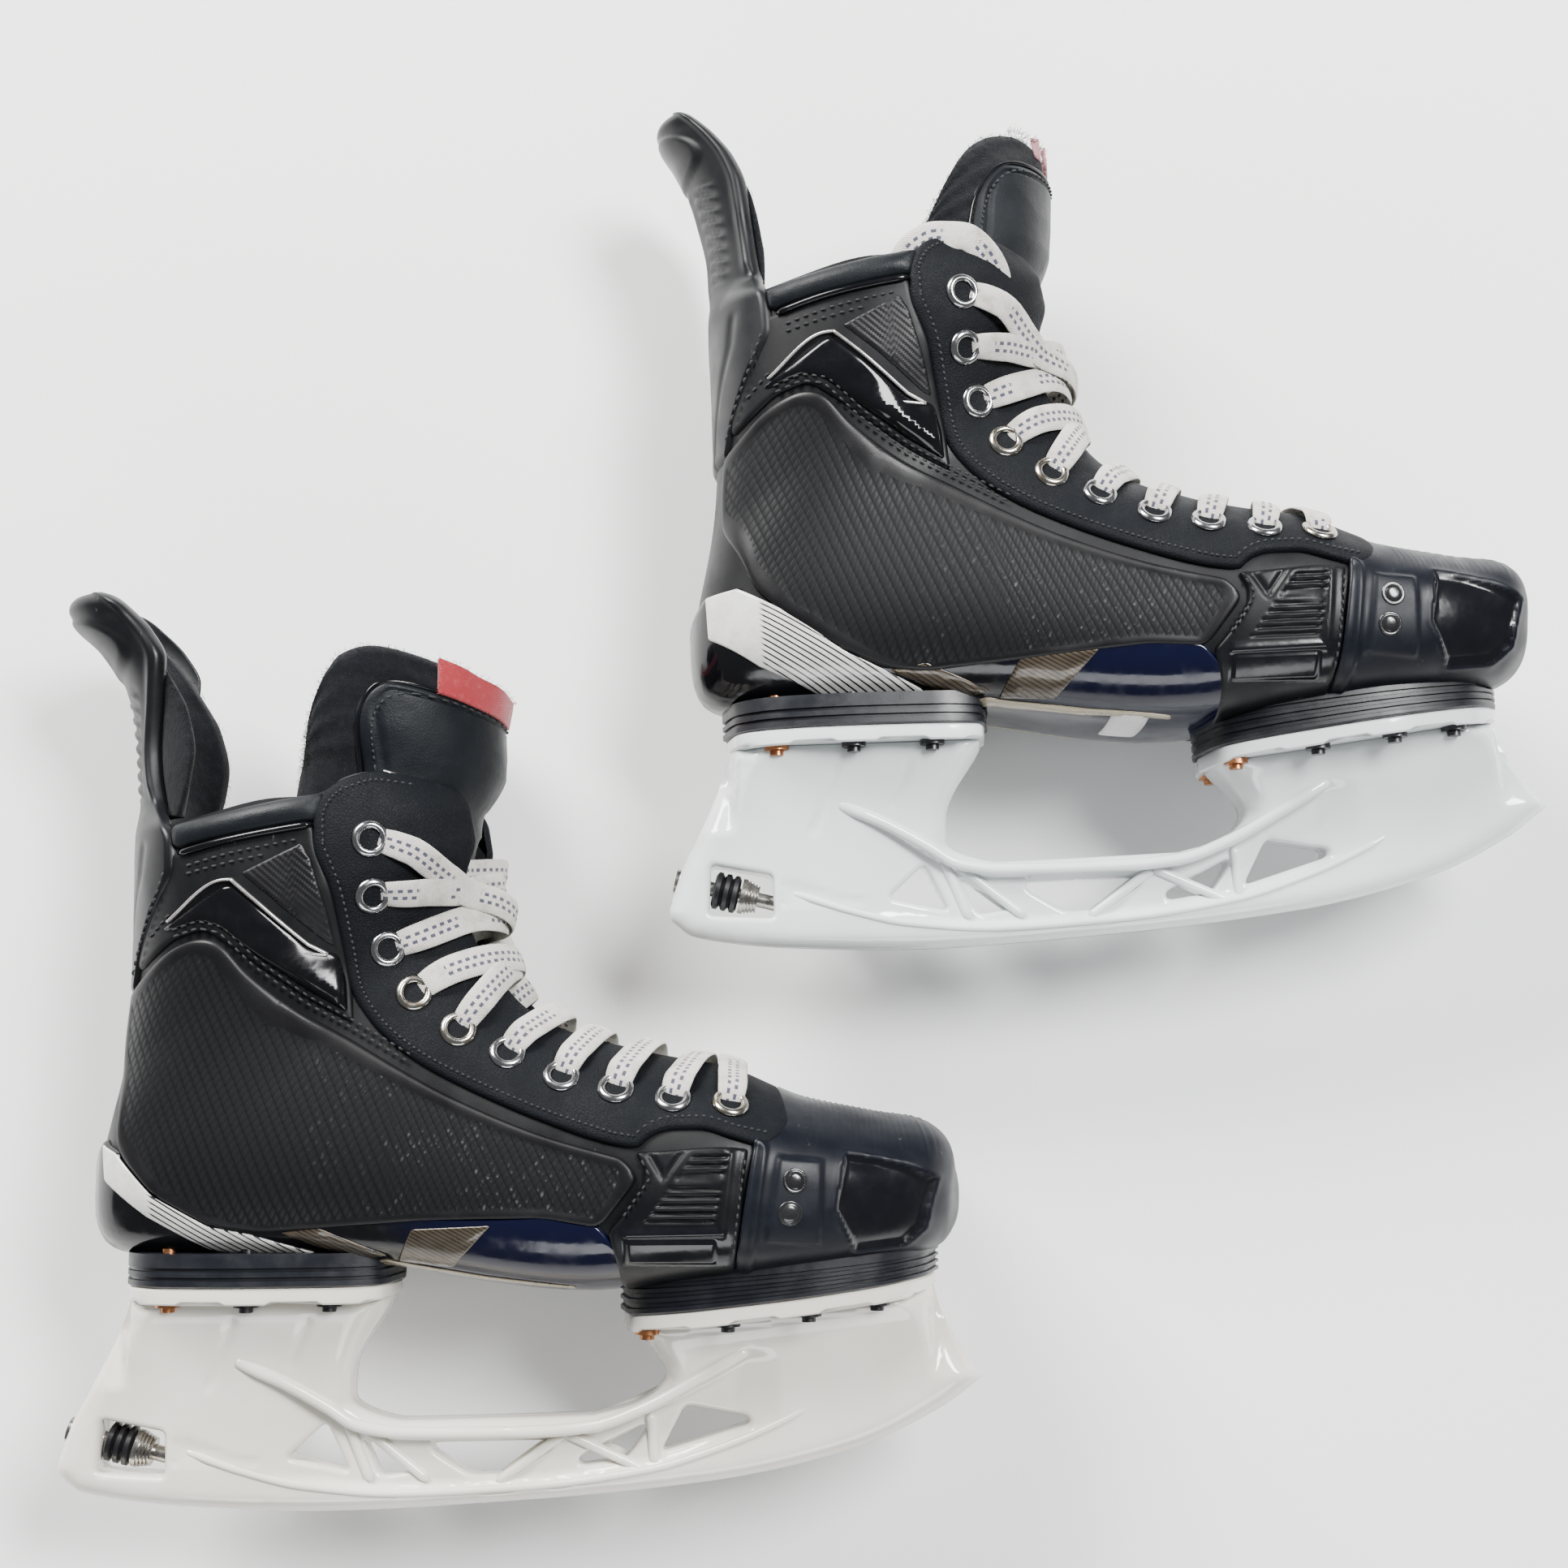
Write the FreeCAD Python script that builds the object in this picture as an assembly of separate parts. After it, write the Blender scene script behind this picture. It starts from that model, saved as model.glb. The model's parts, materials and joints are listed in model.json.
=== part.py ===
"""A pair of hockey skates laid flat on their sides: boots, soft parts, laces, runner holders
and the blade lock of each holder. Units are millimetres.

Each skate is drawn in its own frame: x runs from heel to toe, z from the ice up to the
collar, and y to the wearer's left. The right skate is drawn, and the left one mirrors it.
Both then lie with their right side up: x stays X, z becomes Y and -y becomes Z.
"""

import FreeCAD, Part
import math
import os

V = FreeCAD.Vector

# Driving dimensions of the boot.
PIVOT_X = 175.0  # the boot's sections fan out from this line in front of the ankle
PIVOT_Z = 230.0
SHELL_T = 4.5
LINER_T = 4.0
SKIN_T = 2.0  # panels, eyestays and the toe cap stand this far out of the shell
TONGUE_OUT = -8.8  # the tongue's outer face, measured from the shell's outer face
TONGUE_T = 7.0
FELT_T = 3.0
THROAT_TOP = 27.0  # half the gap between the eyestays, at the collar and at the toe
THROAT_TOE = 14.0

# Driving dimensions of the tendon guard and the tongue above the collar.
GUARD_T = 4.0
GUARD_HINGE_Z = 224.0
TONGUE_HINGE_Z = 236.0
TONGUE_FRONT_X = 143.6
BODY_GAP = 0.4

# Driving dimensions of the holder and what joins it to the boot.
HOLDER_LENGTH = 298.0
FLANGE_T = 4.5
HEEL_TOP_Z = 72.5
TOE_SLOPE = (181.4, 61.7, 283.5, 73.5)  # the front flange's top: x, z to x, z
RUNNER_SLOT_W = 3.2
RUNNER_SLOT_DEPTH = 9.0
RIVET_R = 2.2
RIVET_HEAD_R = 4.0
RIVET_BITE = 3.2  # how far a rivet reaches into the sole

# The blade lock's axis, in the plane y = 0, from its bolt head forwards and down.
LOCK_ORIGIN = V(3.2, 0, 26.0)
LOCK_SLOPE_DEG = 15.0
LOCK_BOLT_R = 2.5
LOCK_WHEEL_R = 6.3

# Laces and eyelets.
EYELET_R = 5.5
EYELET_HOLE_R = 3.2
LACE_W = 7.6
LACE_T = 1.4
LACE_OVER = 4.6  # where the lace's middle lies over an eyestay, out of the shell's face
LACE_UNDER = -6.3  # and where it lies under the eyestay across
DROP_FROM = 0.36  # it goes down between these shares of its crossing
DROP_TO = 0.62
LACE_STEPS = 18
EYELETS = [
    (103.5, 212.0), (103.8, 195.0), (107.9, 178.0), (116.9, 163.4), (131.0, 151.8),
    (146.4, 144.0), (163.7, 136.4), (180.9, 132.3), (198.8, 129.1), (216.3, 127.2),
]

STUDS = [(236.0, 105.2), (234.4, 95.9)]
STUD_R = 3.5

# The pair's layout on the floor: where the left skate lies from the right one.
LEFT_SHIFT_X = 196.0
LEFT_SHIFT_Y = 176.0
LEFT_YAW_DEG = 1.7

# The boot's sections. Ahead of the pivot they are upright planes, and the key is the
# distance ahead of it. Behind it they fan backwards, and the key is minus the angle in
# degrees. Each gives the distance from the pivot to the sole or back, the distance to the
# instep or shin, half the width, the centre's shift to the inner side, and two powers that
# say how square the sole side and the instep side are.
SECTIONS = [
    (113, 142.0, 124.0, 14.0, 5.0, 2.2, 2.2),
    (109, 146.5, 115.0, 26.0, 5.0, 2.4, 2.2),
    (101, 149.3, 109.3, 34.5, 4.5, 2.8, 2.3),
    (87, 150.5, 106.2, 41.5, 3.0, 3.0, 2.3),
    (65, 152.5, 101.5, 47.0, 1.0, 3.2, 2.3),
    (40, 155.3, 91.0, 49.5, 0.0, 3.2, 2.3),
    (15, 158.0, 85.5, 48.5, 0.0, 3.0, 2.2),
    (0, 159.2, 81.0, 46.5, 0.0, 3.0, 2.2),
    (-10, 159.8, 77.0, 44.5, 0.0, 3.0, 2.2),
    (-20, 162.5, 72.0, 42.0, 0.0, 3.0, 2.2),
    (-30, 172.5, 64.0, 40.0, 0.0, 2.9, 2.2),
    (-38, 188.5, 57.5, 38.5, 0.0, 2.8, 2.2),
    (-44, 206.0, 51.5, 37.5, 0.0, 2.6, 2.2),
    (-48, 214.5, 48.5, 37.0, 0.0, 2.5, 2.2),
    (-53, 204.0, 46.0, 37.5, 0.0, 2.4, 2.2),
    (-60, 180.5, 42.5, 40.5, 0.0, 2.3, 2.2),
    (-70, 162.5, 38.5, 45.5, 0.0, 2.3, 2.2),
    (-80, 154.5, 38.5, 47.0, 0.0, 2.3, 2.2),
    (-90, 152.0, 42.0, 45.5, 0.0, 2.3, 2.2),
    (-96, 152.0, 46.0, 44.5, 0.0, 2.3, 2.2),
]
WIDEST_AT = 0.5  # where a section is widest, from the sole side to the instep side
RING = 28  # points round a section
LEAST_SECTION = 12.0  # the hollow ends where a section would be lower than this


def section_at(key):
    """A section's numbers anywhere between the listed ones, on a smooth curve."""
    keys = [s[0] for s in SECTIONS]
    key = min(max(key, keys[-1]), keys[0])
    i = max(j for j in range(len(keys) - 1) if keys[j] >= key)
    near = [SECTIONS[min(max(j, 0), len(keys) - 1)] for j in (i - 1, i, i + 1, i + 2)]
    span = near[2][0] - near[1][0]
    t = (key - near[1][0]) / span
    out = []
    for column in range(1, 7):
        rise = near[2][column] - near[1][column]
        before = near[1][column] - near[0][column]
        after = near[3][column] - near[2][column]
        m0 = span * mean_slope(before, near[1][0] - near[0][0], rise, span)
        m1 = span * mean_slope(rise, span, after, near[3][0] - near[2][0])
        h1 = 3 * t**2 - 2 * t**3
        out.append(
            near[1][column] + h1 * rise + (t**3 - 2 * t**2 + t) * m0 + (t**3 - t**2) * m1
        )
    return out


def mean_slope(rise_a, run_a, rise_b, run_b):
    """The slope between two spans that keeps a smooth curve from overshooting."""
    if run_a == 0 or run_b == 0:
        return rise_b / run_b if run_b else rise_a / run_a
    a = rise_a / run_a
    b = rise_b / run_b
    return 0.0 if a * b <= 0 else 2 * a * b / (a + b)


def ray(key):
    """Where a section starts, and its direction towards the sole or back, in x and z."""
    if key >= 0:
        return V(PIVOT_X + key, 0, PIVOT_Z), V(0, 0, -1)
    turn = math.radians(-key)
    return V(PIVOT_X, 0, PIVOT_Z), V(-math.sin(turn), 0, -math.cos(turn))


def boot_point(key, turn, offset=0.0):
    """A point of the boot's surface, moved out by offset.

    turn goes round the section in degrees: 0 at the instep or shin, 90 at the inner side,
    180 at the sole or back and -90 at the outer side.
    """
    far, near, half, shift, sole_power, instep_power = section_at(key)
    start, along = ray(key)
    if key == SECTIONS[0][0]:
        start = start + V(offset, 0, 0)
    far, near, half = far + offset, near - offset, half + offset
    middle = far + (near - far) * WIDEST_AT
    angle = math.radians(turn)
    instep_side = math.cos(angle) >= 0
    power = instep_power if instep_side else sole_power
    reach = (near if instep_side else far) - middle
    up = abs(math.cos(angle)) ** (2 / power)
    across = math.copysign(abs(math.sin(angle)) ** (2 / power), math.sin(angle))
    return start + along * (middle + reach * up) + V(0, shift + half * across, 0)


def outward(key, turn):
    """The direction that points squarely out of the boot's surface."""
    a = boot_point(key, turn + 1) - boot_point(key, turn - 1)
    b = boot_point(key + 1, turn) - boot_point(key - 1, turn)
    out = a.cross(b).normalize()
    away = boot_point(key, turn, 1.0) - boot_point(key, turn)
    return out if out.dot(away) > 0 else out * -1


def turn_at(key, x, z, offset=0.0):
    """How far round its section a side-view point on the instep half lies, in degrees."""
    far, near, _, _, _, power = section_at(key)
    start, along = ray(key)
    distance = (V(x, 0, z) - start).dot(along)
    middle = (far + near) / 2
    up = (middle - distance) / (middle - near + offset)
    return math.degrees(math.acos(min(1.0, max(0.0, up)) ** (power / 2)))


def key_at(x, z):
    """The section that a side-view point lies in."""
    if x >= PIVOT_X:
        return x - PIVOT_X
    return -math.degrees(math.atan2(PIVOT_X - x, PIVOT_Z - z))


def closed_curve(points):
    """A smooth closed wire through evenly numbered points, so that a loft stays light."""
    count = len(points)
    curve = Part.BSplineCurve()
    numbers = [k / count for k in range(count + 1)]
    curve.interpolate(Points=points, PeriodicFlag=True, Parameters=numbers)
    return Part.Wire(curve.toShape())


def boot_solid(offset):
    """The boot's whole outer form, made larger or smaller by offset all round."""
    wires = []
    for row in SECTIONS:
        if row[1] - row[2] + 2 * offset < LEAST_SECTION:
            continue
        ring = [boot_point(row[0], 360 * k / RING, offset) for k in range(RING)]
        wires.append(closed_curve(ring))
    return Part.makeLoft(wires, True, False)


def side_prism(points, low_y=-80.0, high_y=80.0):
    """A straight-sided solid with that outline in the side view."""
    corners = [V(x, low_y, z) for x, z in points]
    face = Part.Face(Part.makePolygon(corners + corners[:1]))
    return face.extrude(V(0, high_y - low_y, 0))


def curved_prism(pieces, low_y, high_y):
    """As side_prism, with an outline of smooth curves that join at corners."""
    edges = []
    for i, piece in enumerate(pieces):
        path = [V(x, low_y, z) for x, z in piece + pieces[(i + 1) % len(pieces)][:1]]
        if len(path) == 2:
            edges.append(Part.makeLine(path[0], path[1]))
            continue
        curve = Part.BSplineCurve()
        curve.interpolate(path)
        edges.append(curve.toShape())
    return Part.Face(Part.Wire(edges)).extrude(V(0, high_y - low_y, 0))


def plan_prism(points, low_z, high_z):
    """A straight-sided solid with a smooth outline from above, the same on both sides."""
    half = [V(x, y, low_z) for x, y in points]
    other = [V(p.x, -p.y, low_z) for p in reversed(half[1:-1])]
    curve = Part.BSplineCurve()
    curve.interpolate(Points=half + other, PeriodicFlag=True)
    return Part.Face(Part.Wire(curve.toShape())).extrude(V(0, 0, high_z - low_z))


def only_solids(shape, least=5.0):
    """The shape's solids, without crumbs that a cut leaves."""
    solids = [s for s in shape.Solids if s.Volume > least]
    return solids[0] if len(solids) == 1 else Part.makeCompound(solids)


def throat():
    """The opening between the eyestays, from the collar to the toe cap."""
    region = side_prism(
        [
            (104, 260), (112, 226), (116, 200), (122, 176), (134, 158), (152, 141),
            (180, 128), (232, 122), (236, 150), (190, 175), (175, 260),
        ]
    )
    root = math.sqrt(0.5)
    along = V(root, 0, -root)
    out = V(root, 0, root)
    top = along * -130
    toe = along * 75
    base = out * -40
    ends = [
        base + top + V(0, -THROAT_TOP, 0),
        base + toe + V(0, -THROAT_TOE, 0),
        base + toe + V(0, THROAT_TOE, 0),
        base + top + V(0, THROAT_TOP, 0),
    ]
    wedge = Part.Face(Part.makePolygon(ends + ends[:1])).extrude(out * 460)
    return region.common(wedge)


def collar_space():
    """Everything above the collar's and the eyestays' top line."""
    return curved_prism(
        [
            [(-20, 219)],
            [(24, 219), (45.7, 219), (59, 222), (74.5, 225), (88, 226.5)],
            [(94, 231), (104.5, 234), (115, 232), (122, 226)],
            [(170, 215)],
            [(170, 300)],
            [(-20, 300)],
        ],
        -80,
        80,
    )


def overlay(skin, outline, side):
    """A panel of the skin, on one side of the boot: -1 is the outer side, 1 the inner."""
    low, high = (-80.0, -0.5) if side < 0 else (0.5, 80.0)
    return only_solids(skin.common(side_prism(outline, low, high)))


PANEL_OUTLINE = [
    (22.7, 161.6), (18.6, 130.6), (16.5, 111), (22, 104.7), (31, 97.5), (50.7, 88.5),
    (69, 89), (86, 91), (159, 93.8), (178, 90.5), (190.5, 106.6), (186, 115.0), (159, 122),
    (131, 134), (115, 143), (98, 153), (85, 161), (69, 169), (52.7, 180), (27.9, 167),
]
EYESTAY_OUTLINE = [
    (84, 240), (84.5, 214), (94, 192), (96, 173), (100, 158.5), (115.5, 143.6),
    (131.5, 134.6), (159.4, 122.6), (186.4, 115.6), (222.6, 115.6), (231.6, 119),
    (236, 129), (236, 175), (160, 260),
]
BADGE_OUTLINE = [
    (27.5, 168.5), (52.7, 181.5), (69.5, 170.5), (85.5, 162.3), (98, 155), (95, 172.5),
    (93, 191.5), (83.6, 213.6), (83.4, 224), (60, 219), (46, 215), (28, 210),
]
GUARD_BASE_OUTLINE = [
    (10, 164), (26.5, 168.6), (27, 210), (40, 214.5), (36, GUARD_HINGE_Z - BODY_GAP),
    (10, GUARD_HINGE_Z - BODY_GAP),
]
FOREFOOT_OUTLINE = [
    (178.6, 89.6), (191.0, 106.6), (187, 114.9), (222.7, 115), (218.7, 83), (217, 60),
    (182, 60),
]
TOE_OUTLINE = [
    (217.5, 60), (219.2, 83), (223.2, 115), (232.2, 118.5), (236.6, 129), (236.6, 160),
    (300, 160), (300, 40),
]
OUTSOLE_OUTLINE = [
    (5, 75), (5, 97), (20, 104.3), (31, 96.8), (50.5, 87.8), (69, 88.3), (86, 90.3),
    (159, 93.1), (177.8, 89.4), (181.5, 60), (5, 60),
]

FOOTBED_SIDE = [
    (20, 90.4), (60, 90), (110, 88), (159, 80.5), (180, 79.8), (240, 85), (276, 90),
    (276, 93), (240, 89), (180, 84.5), (159, 85.5), (110, 93), (60, 95.4), (20, 95.8),
]


def boot_parts():
    """The shell, its outer panels, the liner, the footbed and the tongue below the collar."""
    outer = boot_solid(0)
    skin = boot_solid(SKIN_T).cut(outer)
    inner = boot_solid(-SHELL_T)
    lining = boot_solid(-SHELL_T - LINER_T)
    open_throat = throat()
    above = collar_space()
    shell = only_solids(outer.cut(inner).cut(above).cut(open_throat))
    heel_keep = side_prism(
        [(0, 60), (150, 60), (128, 130), (96, 158), (88, 190), (78, 240), (0, 240)]
    )
    liner = only_solids(inner.cut(lining).common(heel_keep).cut(above))
    footbed = only_solids(lining.common(side_prism(FOOTBED_SIDE)))
    tongue_keep = side_prism(
        [
            (76, TONGUE_HINGE_Z - BODY_GAP), (88, 200), (94, 172), (110, 150), (140, 134),
            (222, 118), (222, 160), (165, 190), (165, TONGUE_HINGE_Z - BODY_GAP),
        ]
    )
    tongue_skin = boot_solid(TONGUE_OUT).cut(boot_solid(TONGUE_OUT - TONGUE_T))
    tongue = only_solids(tongue_skin.common(tongue_keep))
    toe_cap = only_solids(skin.common(side_prism(TOE_OUTLINE)))
    guards = [overlay(skin, FOREFOOT_OUTLINE, side) for side in (-1, 1)]
    outsole = only_solids(skin.common(side_prism(OUTSOLE_OUTLINE)))
    parts = {
        "boot_shell": shell,
        "liner": liner,
        "footbed": footbed,
        "tongue": tongue,
        "toe_cap": toe_cap,
        "forefoot_guards": Part.makeCompound(guards),
        "outsole": outsole,
    }
    badges = []
    for name, side in (("lateral", -1), ("medial", 1)):
        parts[f"side_panel_{name}"] = overlay(skin, PANEL_OUTLINE, side)
        stay = overlay(skin, EYESTAY_OUTLINE, side).cut(above)
        parts[f"eyestay_{name}"] = only_solids(stay.cut(open_throat))
        badges.append(only_solids(overlay(skin, BADGE_OUTLINE, side).cut(above)))
    parts["ankle_badges"] = Part.makeCompound(badges)
    thick = boot_solid(GUARD_T).cut(outer)
    parts["tendon_guard_base"] = only_solids(thick.common(side_prism(GUARD_BASE_OUTLINE)))
    return parts, outer


def eyelet_frames():
    """Each eyelet's section, turn, side, centre on the eyestay's face and outward direction."""
    frames = []
    for side in (-1, 1):
        for x, z in EYELETS:
            key = key_at(x, z)
            turn = side * turn_at(key, x, z, SKIN_T)
            centre = boot_point(key, turn, SKIN_T)
            frames.append((key, turn, side, centre, outward(key, turn)))
    return frames


def fit_eyelets(parts, frames):
    """The rings in the eyestays, and the lace holes behind them."""
    rings = []
    seats = []
    for _, _, _, centre, out in frames:
        ring = Part.makeCylinder(EYELET_R, 1.4, centre - out * 0.6, out)
        ring = ring.cut(Part.makeCylinder(EYELET_HOLE_R, 4, centre - out * 2, out))
        rings.append(ring)
        seats.append(Part.makeCylinder(EYELET_R + 0.03, 6, centre - out * 0.63, out))
        seats.append(Part.makeCylinder(EYELET_HOLE_R, 16, centre - out * 10, out))
    holes = Part.makeCompound(seats)
    for name in ("boot_shell", "eyestay_lateral", "eyestay_medial"):
        parts[name] = only_solids(parts[name].cut(holes))
    parts["eyelets"] = Part.makeCompound(rings)


def ribbon(points, normals, width=LACE_W, thick=LACE_T):
    """A flat strap along the points, its broad face along the normals."""
    rings = []
    for i, p in enumerate(points):
        ahead = points[min(i + 1, len(points) - 1)] - points[max(i - 1, 0)]
        across = ahead.cross(normals[i]).normalize() * (width / 2)
        up = normals[i] * (thick / 2)
        rings.append([p + across + up, p - across + up, p - across - up, p + across - up])
    faces = []
    for a, b in zip(rings, rings[1:]):
        for k in range(4):
            m = (k + 1) % 4
            faces += [(a[k], a[m], b[m]), (a[k], b[m], b[k])]
    for end in (rings[0], rings[-1]):
        faces += [(end[0], end[1], end[2]), (end[0], end[2], end[3])]
    flat = [Part.Face(Part.makePolygon([p, q, r, p])) for p, q, r in faces]
    solid = Part.makeSolid(Part.makeShell(flat))
    return solid if solid.Volume > 0 else solid.reversed()


def crossing(start, end, offset_at):
    """A strap round the instep from one eyelet to another, offset_at(t) out of the shell."""
    points = []
    normals = []
    for i in range(LACE_STEPS + 1):
        t = i / LACE_STEPS
        key = start[0] + (end[0] - start[0]) * t
        turn = start[1] + (end[1] - start[1]) * t
        normals.append(outward(key, turn))
        points.append(boot_point(key, turn) + normals[-1] * offset_at(t))
    return ribbon(points, normals)


def lace_run(start, end, rise):
    """One crossing: out of an eyelet, over its eyestay, and under the one across."""

    def offset_at(t):
        drop = min(1.0, max(0.0, (t - DROP_FROM) / (DROP_TO - DROP_FROM)))
        fall = (LACE_UNDER - LACE_OVER) * (3 * drop**2 - 2 * drop**3)
        return LACE_OVER + fall + rise * math.exp(-(((t - 0.5) / 0.1) ** 2))

    return crossing(start, end, offset_at)


def lace_bar(start, end):
    """The lowest crossing, straight over both eyestays."""
    return crossing(start, end, lambda t: LACE_OVER)


def laces(frames):
    """All crossings of one lace, from the toe to the collar."""
    count = len(EYELETS)
    outer_side, inner_side = frames[:count], frames[count:]
    runs = []
    for i in range(count - 1):
        runs.append(lace_run(outer_side[i], inner_side[i + 1], 1.4))
        runs.append(lace_run(inner_side[i], outer_side[i + 1], -1.4))
    runs.append(lace_bar(outer_side[-1], inner_side[-1]))
    return Part.makeCompound(runs)


def lace_loop():
    """The loose end that arches out of the collar over the tongue's inner side."""
    points = [
        V(74.0, 39.5, 229.0), V(79.0, 43.0, 238.5), V(86.0, 45.2, 244.0),
        V(94.0, 46.0, 245.8), V(101.5, 45.6, 242.5), V(107.5, 43.6, 235.8),
    ]
    return ribbon(points, [V(0, 1, 0)] * len(points))


def arch(levels, thick):
    """A tube round the leg, with levels of (z, centre x, half x, half y)."""

    def tube(extra):
        wires = []
        for z, x, a, b in levels:
            ring = []
            for k in range(RING):
                angle = 2 * math.pi * k / RING
                ring.append(V(x + (a + extra) * math.cos(angle), (b + extra) * math.sin(angle), z))
            wires.append(closed_curve(ring))
        return Part.makeLoft(wires, True, False)

    return tube(0).cut(tube(-thick))


def tongue_above():
    """The tongue's padded face, its felt and its label, above the top crossing."""
    low = TONGUE_HINGE_Z
    levels = [
        (low, 97, TONGUE_FRONT_X - 97, 38), (250, 97, 49.3, 42), (264, 97, 51.5, 44.5),
        (280, 97, 54, 45),
    ]
    inner = [(z, x, a - TONGUE_T, b - TONGUE_T) for z, x, a, b in levels]
    face = curved_prism(
        [
            [(160, low)],
            [(160, 262), (148, 266.5), (131, 271.5), (108, 277), (95, 271.5), (86, 261)],
            [(83, 250), (80.5, low)],
        ],
        -60,
        60,
    )
    felt = curved_prism(
        [
            [(160, low)],
            [(160, 262), (147, 267.5), (131, 272.5), (106, 278), (92, 271), (83, 261)],
            [(79, 250), (75.5, low)],
        ],
        -60,
        60,
    )
    label = side_prism([(124.5, 255.5), (160, 252), (160, 263), (124.5, 272)], -24, 24)
    outside = [(z, x, a + 1.0, b + 1.0) for z, x, a, b in levels]
    return {
        "tongue_top": only_solids(arch(levels, TONGUE_T).common(face)),
        "tongue_felt": only_solids(arch(inner, FELT_T).common(felt)),
        "tongue_label": only_solids(arch(outside, 1.0).common(label)),
    }


def tendon_guard():
    """The guard above the collar and the felt inside it."""
    low = GUARD_HINGE_Z
    levels = [
        (low, 50, 27, 29), (238, 49, 26.2, 28), (256, 47, 25, 26), (268, 43, 24, 24.5),
        (278, 38, 24, 23), (287, 30, 24, 21), (298, 31, 23, 19),
    ]
    inner = [(z, x, a - GUARD_T, b - GUARD_T) for z, x, a, b in levels]
    shell = curved_prism(
        [
            [(0, low)],
            [(0, 290), (8, 294.6), (15.5, 294.6), (24, 289.4), (31, 282)],
            [(35.2, 273), (33.5, 262), (32.5, 245), (36, low)],
        ],
        -60,
        60,
    )
    felt = curved_prism(
        [
            [(14, low)],
            [(14, 280), (22, 286), (31, 279), (43, 267), (50, 257), (50.7, 243)],
            [(47.5, low)],
        ],
        -60,
        60,
    )
    return {
        "tendon_guard": only_solids(arch(levels, GUARD_T).common(shell)),
        "guard_felt": only_solids(arch(inner, FELT_T).common(felt)),
    }


HOLDER_SIDE = [
    [(0, 13), (9, 7), (46, 1.8), (86, 0), (150, 3), (212, 8.6), (256, 18), (284, 30.5)],
    [(HOLDER_LENGTH, 40.5), (290.5, 50.5), (283, 64)],
    [(283.5, 73.5)],
    [(181.4, 61.7)],
    [(181.4, 59.0), (190, 52), (197, 39), (184, 31.5), (172, 29)],
    [(154, 28.8)],
    [(112, 28.3), (100, 31), (93, 35), (93, 42), (107.5, 68)],
    [(109.4, 72.5)],
    [(21.7, 72.5), (22, 67), (11, 39.5), (5, 28)],
]
WINDOWS = [
    [(86.5, 28.3), (74, 17.3), (94.5, 12.3)],
    [(98, 23.3), (117, 12.8), (104, 10.8)],
    [(120.8, 21.3), (159, 21.7), (158.7, 18.7), (145, 11.3), (132.7, 11), (120.5, 18.7)],
    [(188.5, 26.4), (188.8, 24.3), (182.5, 15.5), (167.8, 13.4), (167.1, 16.2)],
    [(201.6, 32.6), (222.3, 28.7), (222.3, 25.9), (193.7, 17.5)],
]
LOCK_WINDOW = [(15.4, 30.4), (35.8, 26.1), (35.8, 11.8), (14.1, 13.4)]
HEEL_PLAN = [
    (21.9, 0), (25, 15), (38, 25), (63, 28), (90, 27), (106, 22), (109.3, 0),
]
FRONT_PLAN = [
    (181.6, 0), (185, 20), (205, 31), (235, 34), (262, 29), (279, 15), (283.4, 0),
]
RIVETS = [
    (38.4, 18.5, "copper"), (63.7, 21.5, "steel"), (89.7, 20.5, "steel"),
    (190.0, 19.0, "copper"), (215.6, 26.5, "steel"), (241.0, 27.0, "steel"),
    (263.0, 20.5, "steel"),
]


def slope_z(x):
    """The height of the front flange's top."""
    x0, z0, x1, z1 = TOE_SLOPE
    return z0 + (z1 - z0) * (x - x0) / (x1 - x0)


# A tower's half width by height; it opens to the flange's width at its top.
STEM_PROFILE = [(0, 5.5), (4, 6.6), (30, 9.5), (46, 12), (58, 17)]
HEEL_TOWER_HALF_W = 24.0
FRONT_TOWER_HALF_W = 29.0
TOWERS_MEET_X = 145.0


def flare(width, low_x, high_x, lean):
    """The space that a tower may fill: a narrow stem that opens to the flange's width."""
    half = STEM_PROFILE + [(66, width * 0.8), (HEEL_TOP_Z, width)]
    above = HEEL_TOP_Z + 20
    right = [V(low_x, y, z) for z, y in half]
    left = [V(low_x, -y, z) for z, y in reversed(half)]
    top = [V(low_x, -width, above), V(low_x, width, above)]
    face = Part.Face(Part.makePolygon(right + top[::-1] + left + right[:1]))
    return face.extrude(V(high_x - low_x, 0, (high_x - low_x) * lean))


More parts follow.
